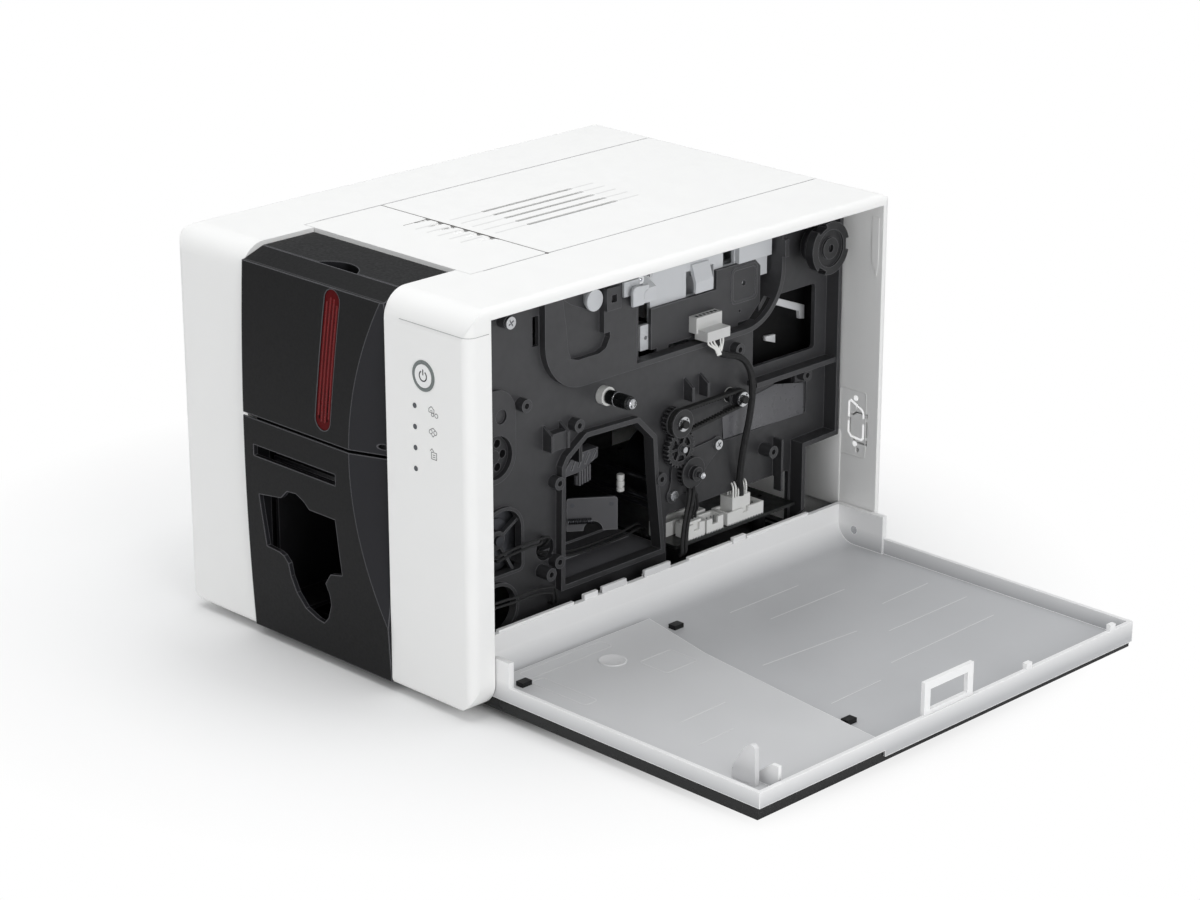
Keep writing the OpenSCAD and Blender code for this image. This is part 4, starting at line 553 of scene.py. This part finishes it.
def add_side_plate():
    """Satin plate under the belt's small pulley."""
    outline = [(57.2, 76.0), (116.6, 74.8), (116.1, 91.4), (94.7, 95.6), (56.0, 90.4)]
    with piece("side_plate", "frame", "metal_dark", SHEEN) as bm:
        add_prism(bm, outline, along_x, 69.9, 70.35, 0.12)


def add_door_marks():
    """Moulded disc, outlines and flow lines on the door's floor, its ear and its two tabs."""
    raised, floor = 8.0, 5.0                # z of the floor's raised front part and its rest
    sunk, outline, rib = 0.05, 0.12, 0.1    # below and above the surface they lie on
    # marks, ear and tabs take the door's grey painted lighter: painted light
    with piece("door_marks", "side_door", "grey_door", LIT_DOOR_GREY) as bm:
        low = raised - sunk
        add_lathe(bm, (114.1, -64.6), along_z,
                  [(low, 6.9), (8.35, 6.8), (8.5, 6.5), (8.5, 6.1), (8.3, 5.8), (8.3, 0.3)], 40)
        for corner, other in (((94.0, -106.0), (102.0, -52.0)),
                              ((105.0, -109.0), (141.0, -101.0)),
                              ((124.0, -57.0), (142.0, -36.0))):
            add_stripe(bm, rounded(corner, other, 2.0), 0.5, along_z, low, raised + outline,
                       True)
        for start, end in (((184, -92.2), (183.3, -61.7)), ((206, -104), (205, -80))):
            add_stripe(bm, line(start, end), 0.45, along_z, low, raised + rib)
        for start, end in (((153.7, 83), (152.5, 119.2)), ((178, 59.2), (177.3, 118.9)),
                           ((203.4, 30.8), (201.2, 110.1)), ((108.8, 21.9), (108.9, 71.5)),
                           ((162.8, -14), (167.2, 48.4)), ((128, 30), (128.4, 84)),
                           ((214, -24), (213, 12))):
            add_stripe(bm, line(start, end), 0.45, along_z, floor - sunk, floor + rib)
    with piece("door_ear", "side_door", "grey_door", LIT_DOOR_GREY) as bm:
        ear = ([(238.4, 8.0), (239.0, 14.6), (245.6, 24.6)]
               + arc((249.4, 24.6), 2.4, 130, 20, 5) + [(252.2, 8.0)])
        add_prism(bm, ear, along_y, -117.4, -114.6, 0.2)
        for y0, y1, top in ((-38.0, -21.4, 27.7), (-9.0, 9.0, 27.9)):
            add_block(bm, (79.05, y0, 23.5), (81.1, y1, top), 0.5)


def add_top_lines():
    """Seams of the lid as they read on the white top, and painted shade for the shallow grooves
    in line with its vents."""
    low, high, proud = TOP - 0.1, TOP + 0.03, TOP + 0.05
    seam, groove = 0.42, 1.3
    groove_places = [7.9 * (k - 2) for k in range(5)]
    with piece("lid_side_lines", "frame", "white_shell", LINE_GREY) as bm:
        for x in (-59.65, 57.35):
            add_stripe(bm, [(x, -91.0), (x, 20.0), (x, 135.8)], seam, along_z, low, high)
    with piece("lid_front_line", "frame", "inner_black", LINE_DARK) as bm:
        add_stripe(bm, [(-59.3, -49.95), (0, -49.95), (57.0, -49.95)], seam, along_z, low, high)
        add_stripe(bm, line((-24.8, -50.1), (24.8, -50.1)), 0.9, along_z, low, proud)
        add_stripe(bm, [(-24.9, -50.2), (-24.8, -58.0), (-24.7, -66.2)], 0.4, along_z, low, high)
        add_lathe(bm, (57.0, -50.3), along_z, [(low, 1.0), (proud, 1.0), (proud, 0.2)], 16)
    with piece("lid_grooves", "lid", "white_shell", GROOVE_SHADE) as bm:
        for x in groove_places:
            for start, end in ((-44.4, -24.4), (38.4, 52.4)):
                add_stripe(bm, line((x, start), (x, end)), groove, along_z, low, high)
    with piece("cover_grooves", "frame", "white_shell", GROOVE_SHADE) as bm:
        for x in groove_places:
            add_stripe(bm, [(x, -66.4), (x, -62.0), (x, -52.5)], groove, along_z, low, high)


# ---------- front: button symbol, generic signs and window ridges ----------

BUTTON = (73.1, 156.8)      # x and z of the button's middle
BUTTON_FACE = -142.9
PRINT = 0.05                # printed lines reach this far into and out of their surface
WINDOW = (9.4, 149.5)       # x and z of the red window's middle
WINDOW_LEAN = math.radians(6.2)


def bulge_y(z):
    """Front of the bulged face, as the window's circle has it."""
    return -145.4 + (z - 95.5) ** 2 / 2767


def add_front_pieces():
    """Symbol on the button and three generic signs beside the lights."""
    with piece("button_symbol", "button", "black_front") as bm:
        x, z = BUTTON
        for route in (arc((x, z), 2.35, 122, 418, 30), [(x, z + 0.4), (x, z + 3.1)]):
            add_stripe(bm, route, 0.62, along_y, BUTTON_FACE - PRINT, BUTTON_FACE + PRINT)

    with piece("front_signs", "frame", "metal_dark", INK) as bm:

        def draw(points, closed=False):
            add_stripe(bm, points, 0.34, along_y, FRONT - PRINT, FRONT + PRINT, closed)

        # card over a roller
        x, z = 78.8, 141.4
        draw([(x - 2.6, z - 0.6), (x - 2.6, z + 1.0), (x - 1.0, z + 2.2), (x + 0.8, z + 0.9),
              (x + 0.8, z - 0.6)], True)
        draw([(x - 1.6, z + 0.2), (x - 0.2, z + 0.2)])
        for dx, radius in ((-0.2, 0.8), (2.3, 1.0)):
            draw(arc((x + dx, z - 1.5), radius, 0, 345, 14), True)
        # ribbon between two spools
        x, z = 78.7, 131.4
        for dx in (-1.5, 1.5):
            draw(arc((x + dx, z + 0.2), 1.0, 0, 345, 14), True)
        draw([(x - 1.5, z + 1.4), (x, z + 2.2), (x + 1.5, z + 1.4)])
        draw([(x - 0.9, z - 1.0), (x, z - 2.0), (x + 0.9, z - 1.0)])
        # stack of cards with an arrow
        x, z = 79.0, 121.3
        draw([(x - 1.6, z - 2.4), (x - 1.6, z + 0.8), (x + 1.8, z + 0.8), (x + 1.8, z - 2.4)],
             True)
        for dz in (1.4, 0.4):
            draw([(x - 0.8, z - dz), (x + 1.0, z - dz)])
        draw([(x - 2.4, z + 1.2), (x - 1.2, z + 2.4), (x, z + 1.2)])


def add_window_ridges():
    """Four raised lines down the red window."""
    with piece("window_ridges", "hood", "window_red", RED_RIDGE) as bm:
        for u, half in ((-3.5, 28.0), (-1.2, 30.5), (1.2, 30.5), (3.5, 28.0)):
            route = []
            for k in range(15):
                t = half * (k / 7 - 1)
                x = WINDOW[0] + u * math.cos(WINDOW_LEAN) + t * math.sin(WINDOW_LEAN)
                z = WINDOW[1] - u * math.sin(WINDOW_LEAN) + t * math.cos(WINDOW_LEAN)
                route.append((x, bulge_y(z) + 0.3, z))
            add_tube(bm, route, 0.62, 10, 2)


# ---------- drive: belt teeth and shaft ends ----------

def add_drive_pieces():
    """Teeth inside the belt's two straight runs, and the end of the motor's shaft."""
    pitch, big_r, small_r = 2.0, 5.75, 3.65
    big, small = Vector((18.7, 95.7)), Vector((61.0, 98.2))
    apart = small - big
    lean = math.asin((big_r - small_r) / apart.length)
    with piece("belt_teeth", "frame", "rubber_black") as bm:
        for side in (1, -1):
            # direction from the pulleys' middles to the straight run
            turn = math.atan2(apart.y, apart.x) + side * (math.pi / 2 - lean)
            out = Vector((math.cos(turn), math.sin(turn)))
            start, end = big + out * big_r, small + out * small_r
            step = (end - start).normalized()
            for k in range(2, int((end - start).length / pitch) - 1):
                c = start + step * (pitch * k)
                add_prism(bm, [tuple(c - step * 0.55 + out * 0.05),
                               tuple(c + step * 0.55 + out * 0.05),
                               tuple(c + step * 0.32 - out * 0.7),
                               tuple(c - step * 0.32 - out * 0.7)], along_x, 75.6, 78.4)
    with piece("motor_shaft_tip", "motor_rotor", "steel", BRIGHT) as bm:
        add_lathe(bm, (30.55, 66.6), along_x,
                  [(80.3, 1.66), (81.9, 1.66), (82.3, 1.3), (82.35, 0.4)])


def add_cleaning_tip():
    """Black sleeve with a light ring and a bright turned end on the cleaning roller's shaft."""
    axis = (-27.0, 119.5)
    with piece("roller_sleeve", "cleaning", "black_gloss") as bm:
        add_lathe(bm, axis, along_x,
                  [(74.4, 3.1), (74.7, 3.5), (87.6, 3.5), (88.0, 3.1), (88.0, 2.4)], 32)
    with piece("roller_tip", "cleaning", "steel", BRIGHT) as bm:
        add_lathe(bm, axis, along_x, [(79.4, 3.3), (79.5, 3.62), (80.0, 3.62), (80.1, 3.3)], 32)
        add_lathe(bm, axis, along_x, [(87.6, 2.5), (90.1, 2.5), (90.5, 2.1), (90.5, 0.6)], 28)


# ---------- wiring at the sockets ----------

def add_wiring():
    """White wires of the upper and the lower plug, and the motor's thin black leads."""
    with piece("upper_plug_wires", "frame", "ivory", WIRE_WHITE) as bm:
        for i in range(6):
            y = 37.6 + 2.05 * i
            pull = (i - 2.5) / 2.5
            add_tube(bm, [(77.6, y, 133.2), (77.9, y, 131.2), (78.3, 44.2 + 2.6 * pull, 128.2),
                          (78.2, 44.6 + 1.5 * pull, 126.0), (77.9, 45.2 + 1.0 * pull, 124.2)],
                     0.5, 8)
    with piece("lower_plug_wires", "frame", "ivory", WIRE_WHITE) as bm:
        for i in range(6):
            y = 63.0 + 1.9 * i
            add_tube(bm, [(71.9, y, 43.4), (72.1, y, 46.0), (71.6, y + 0.3, 49.4),
                          (69.6, y + 1.0, 51.3 - 0.2 * abs(i - 2)), (67.6, y + 1.6, 49.2),
                          (67.0, y + 1.7, 46.0), (66.9, y + 1.7, 43.5)], 0.48, 8)
    with piece("motor_leads", "frame", "wire_black") as bm:
        # outer pair of thin motor wires
        for y, top in ((31.6, 31.4), (38.2, 34.9)):
            add_tube(bm, [(69.6, y, 39.2), (69.7, y, 42.0), (72.6, (y + top) / 2, 46.4),
                          (73.9, top, 50.2), (73.6, top, 54.0)], 0.7, 8)
        # two leads that hang down in front of the sockets
        for dy in (0.0, 2.9):
            add_tube(bm, [(72.0, 29.0 + dy, 60.5), (75.6, 27.6 + dy, 58.2),
                          (76.8, 25.6 + dy, 53.0), (77.0, 23.7 + dy, 47.4),
                          (77.0, 22.3 + dy * 0.9, 41.0), (77.0, 21.2 + dy * 0.9, 33.0),
                          (76.8, 21.3 + dy * 0.9, 28.0), (75.0, 21.6 + dy * 0.9, 25.4)], 0.95)


def add_pins():
    """Solder tails along the board's edge and contact pins inside the open sockets."""
    board_top, foot = 31.0, 33.0
    with piece("contact_pins", "frame", "steel") as bm:
        for y0, y1 in ((29.0, 40.6), (42.0, 54.0), (57.0, 83.5)):
            for k in range(int((y1 - y0 - 2) / 2.0) + 1):
                y = y0 + 1.2 + 2.0 * k
                add_block(bm, (73.8, y - 0.28, board_top), (74.95, y + 0.28, board_top + 0.55),
                          0.08)
        for y in (44.4, 46.6, 49.4, 51.6):
            add_block(bm, (69.2, y - 0.3, foot), (69.8, y + 0.3, 37.2), 0.06)
        for y in (76.6, 78.8, 81.0):
            for x in (68.2, 70.4):
                add_block(bm, (x, y - 0.3, foot), (x + 0.6, y + 0.3, 36.6), 0.06)


# ---------- what shows through the windows of the chassis plate ----------

def add_window_interior():
    """Behind the large window: holder, rods, spring, guide roller, comb and floor."""
    with piece("inner_holder", "frame", "inner_black", DEEP_GREY) as bm:
        holder = ([(0, 43), (0, 58.6)] + arc((1.5, 58.5), 1.5, 180, 90, 4)
                  + arc((23.5, 58.5), 1.5, 90, 0, 4) + [(25, 43), (17.8, 43)]
                  + arc((13, 43), 4.8, 0, 180, 14)[1:])
        add_prism(bm, holder, slanted, -1.5, 0)
        add_prism(bm, [(-41, 78), (-30, 78.2), (-18, 83), (-17.8, 87.8), (-34, 87.8),
                       (-39.1, 82.4)], along_x, 50, 58, 0.3)
        for k in range(4):
            add_stripe(bm, [(-36 + 4.5 * k, 80.4 + 0.6 * k), (-33 + 4.5 * k, 86.8)], 0.7,
                       along_x, 57.8, 58.7)

    with piece("inner_rods", "frame", "metal_dark") as bm:
        for u in (2.9, 22.0):
            add_lathe(bm, (u, 56.4), slanted, [(-0.6, 1.1), (0.12, 1.1), (0.12, 0.5)], 18)
        for z, radius in ((52.0, 1.1), (55.5, 1.1), (66, 1.4)):
            add_tube(bm, [(-30, 10, z), (15, 10, z), (66, 10, z)], radius, 10, 2)

    with piece("inner_spring", "frame", "metal_dark") as bm:
        turns, coil = 11, 1.2
        add_tube(bm, [slanted(0.6 + 12.0 * k / (8 * turns),
                              48.6 + coil * math.sin(math.pi * k / 4),
                              1.5 + coil * math.cos(math.pi * k / 4))
                      for k in range(8 * turns + 1)], 0.3, 6, 2)

    with piece("inner_guide_roller", "frame", "ivory") as bm:
        add_lathe(bm, (50, 5.4), along_z,
                  [(57.0, 1.7), (57.3, 2.0), (59.0, 2.0), (59.2, 1.5), (59.8, 1.5), (60.0, 2.0),
                   (62.4, 2.0), (62.6, 1.5), (63.2, 1.5), (63.4, 2.0), (65.6, 2.0),
                   (65.9, 1.7)])

    with piece("inner_comb", "frame", "metal_dark", SHEEN) as bm:
        for k in range(5):
            add_block(bm, (54, -28.6 + 1.7 * k, 70.0 + 0.3 * k),
                      (56, -27.6 + 1.7 * k, 77.4 + 0.5 * k), 0.2)
        add_block(bm, (52.5, -29, 70), (54.6, -20.6, 75), 0.3)

    with piece("inner_floor", "frame", "inner_black", DEEP_GREY) as bm:
        add_block(bm, (-40, -50, 29.6), (66.5, 16, 31.2), 0.4)
        for x in (20, 34, 48):
            add_block(bm, (x, -44, 31.0), (x + 1.4, 12, 32.4), 0.3)


def add_rear_window():
    """Dark wall, angle piece and lug behind the upper rear window, and the light wall behind
    the step."""
    with piece("rear_inner_wall", "frame", "inner_black", DEEP_BLACK) as bm:
        add_block(bm, (54.5, 78, 98), (56.0, 136, 138), 0.3)
        add_block(bm, (56.0, 131, 98), (66.5, 132.6, 138), 0.3)
    with piece("rear_angle_piece", "frame", "light_grey", DIM_WHITE) as bm:
        angle = [(108, 135.2), (129.8, 126.6), (129.8, 119.3), (126.0, 120.2), (125.8, 124.4),
                 (108, 131.1)]
        lug = [(100.8, 116.4), (108.1, 115.9), (108.2, 111.4), (100.9, 114.0)]
        for outline in (angle, lug):
            add_prism(bm, outline, along_x, 56.0, 58.0, 0.3)
    with piece("return_panel", "frame", "white_shell") as bm:
        add_prism(bm, rounded((54, 22), (78.6, 63), 1.0), along_y, 136.0, 136.35, 0.1)


def add_rear_return():
    """Bright webs of the break-out for a connector, their brightness a painted glow standing in
    for light seen through them.
    """
    low, high = 136.25, 136.5       # y, about the return's inner face
    with piece("return_webs", "frame", "white_shell", WEB_WHITE) as bm:
        for route in ([(83.6, 71.7), (83.6, 79.6), (84.9, 80.6), (92.1, 77.0), (93.3, 75.4),
                       (93.3, 72.6)],
                      [(83.6, 69.5), (83.6, 63.7), (85.4, 61.5), (92.2, 60.9), (93.3, 62.1),
                       (93.3, 69.5)]):
            add_stripe(bm, route, 1.0, along_y, low, high)
        for z in (82.4, 58.0):
            add_lathe(bm, (88.0, z), along_y, [(high, 1.4), (low, 1.4), (low, 0.4)], 20)
    with piece("return_frame", "frame", "white_shell") as bm:
        add_stripe(bm, rounded((77.6, 51.5), (94.8, 86.5), 1.2), 0.5, along_y, low, high, True)


add_front_lines()
add_bracket_pieces()
add_side_plate()
add_door_marks()
add_top_lines()
add_front_pieces()
add_window_ridges()
add_drive_pieces()
add_cleaning_tip()
add_wiring()
add_pins()
add_window_interior()
add_rear_window()
add_rear_return()


# ---------- floor, light and camera: metres ----------

FLOOR_Z = -4 * MM       # underside of the feet
CENTRE = Vector((-0.02, -0.02, 0.0))
FADE_FROM, FADE_TO = 0.165, 0.31        # distance from CENTRE where the shadow fades out
WORLD_LIGHT = 0.42
LAMPS = (               # name, place, target, size, watts
    ("overhead", (-0.1, 0.0, 1.5), (0.0, 0.0, 0.1), (1.4, 1.4), 14.8),
    ("right", (1.6, -0.45, 0.5), (0.08, 0.0, 0.08), (1.0, 0.8), 10.2),
    ("front", (-0.5, -1.7, 0.8), (0.0, 0.0, 0.1), (1.2, 0.9), 4.4),
)
CAMERA_PLACE = (1.086689, -1.046973, 0.611064)
CAMERA_DOWN, CAMERA_TURN = 19.833, 44.955       # degrees below the horizon and about z
LENS, SENSOR = 96.77, 36.0                      # millimetres


def make_floor():
    """White floor that keeps the shadow near the object and fades to plain white further out."""
    mesh = bpy.data.meshes.new("floor")
    half = 30.0
    mesh.from_pydata([(-half, -half, FLOOR_Z), (half, -half, FLOOR_Z), (half, half, FLOOR_Z),
                      (-half, half, FLOOR_Z)], [], [(0, 1, 2, 3)])
    floor = bpy.data.objects.new("floor", mesh)
    bpy.context.scene.collection.objects.link(floor)
    b = Build("white floor")
    b.tree.nodes.remove(b.shader)
    matt = b.node("ShaderNodeBsdfDiffuse", Color=(0.86, 0.86, 0.86, 1))
    glow = b.node("ShaderNodeEmission", Color=WHITE, Strength=1.0)
    far = b.node("ShaderNodeVectorMath", operation="DISTANCE")
    b.link(b.place, far.inputs[0])
    far.inputs[1].default_value = CENTRE
    fade = b.span(far.outputs["Value"], 0.0, 1.0, FADE_FROM, FADE_TO)
    ray = b.node("ShaderNodeLightPath")
    seen = b.node("ShaderNodeMath", operation="MAXIMUM")
    b.link(ray.outputs["Is Camera Ray"], seen.inputs[0])
    b.link(ray.outputs["Is Transmission Ray"], seen.inputs[1])
    amount = b.node("ShaderNodeMath", operation="MULTIPLY")
    b.link(seen.outputs[0], amount.inputs[0])
    b.link(fade, amount.inputs[1])
    mix = b.node("ShaderNodeMixShader")
    b.link(amount.outputs[0], mix.inputs[0])
    b.link(matt.outputs[0], mix.inputs[1])
    b.link(glow.outputs[0], mix.inputs[2])
    b.link(mix.outputs[0], b.output.inputs["Surface"])
    mesh.materials.append(b.material)


def make_world():
    """Even white surroundings; the camera sees plain white."""
    world = bpy.data.worlds.new("studio")
    world.use_nodes = True
    bpy.context.scene.world = world
    nodes, links = world.node_tree.nodes, world.node_tree.links
    nodes.clear()
    out = nodes.new("ShaderNodeOutputWorld")
    seen = fill(nodes.new("ShaderNodeBackground"), Color=WHITE, Strength=1.0)
    light = fill(nodes.new("ShaderNodeBackground"), Color=(0.97, 0.985, 1.0, 1),
                 Strength=WORLD_LIGHT)
    ray = nodes.new("ShaderNodeLightPath")
    mix = nodes.new("ShaderNodeMixShader")
    links.new(ray.outputs["Is Camera Ray"], mix.inputs[0])
    links.new(light.outputs[0], mix.inputs[1])
    links.new(seen.outputs[0], mix.inputs[2])
    links.new(mix.outputs[0], out.inputs["Surface"])


def make_lamp(name, place, target, size, watts):
    """Rectangular softbox that looks at its target."""
    lamp = bpy.data.lights.new(name, "AREA")
    lamp.shape = "RECTANGLE"
    lamp.size, lamp.size_y = size
    lamp.energy = watts
    holder = bpy.data.objects.new(name, lamp)
    holder.location = place
    aim = Vector(target) - Vector(place)
    holder.rotation_euler = aim.to_track_quat("-Z", "Y").to_euler()
    bpy.context.scene.collection.objects.link(holder)


def make_camera():
    """Camera with the long lens that the object's lines call for."""
    camera = bpy.data.cameras.new("camera")
    camera.sensor_width = SENSOR
    camera.sensor_fit = "HORIZONTAL"
    camera.lens = LENS
    camera.clip_end = 100.0
    holder = bpy.data.objects.new("camera", camera)
    holder.location = CAMERA_PLACE
    holder.rotation_euler = (math.radians(90 - CAMERA_DOWN), 0, math.radians(CAMERA_TURN))
    bpy.context.scene.collection.objects.link(holder)
    bpy.context.scene.camera = holder


make_floor()
make_world()
for lamp in LAMPS:
    make_lamp(*lamp)
make_camera()
bpy.context.scene.view_settings.view_transform = "Standard"
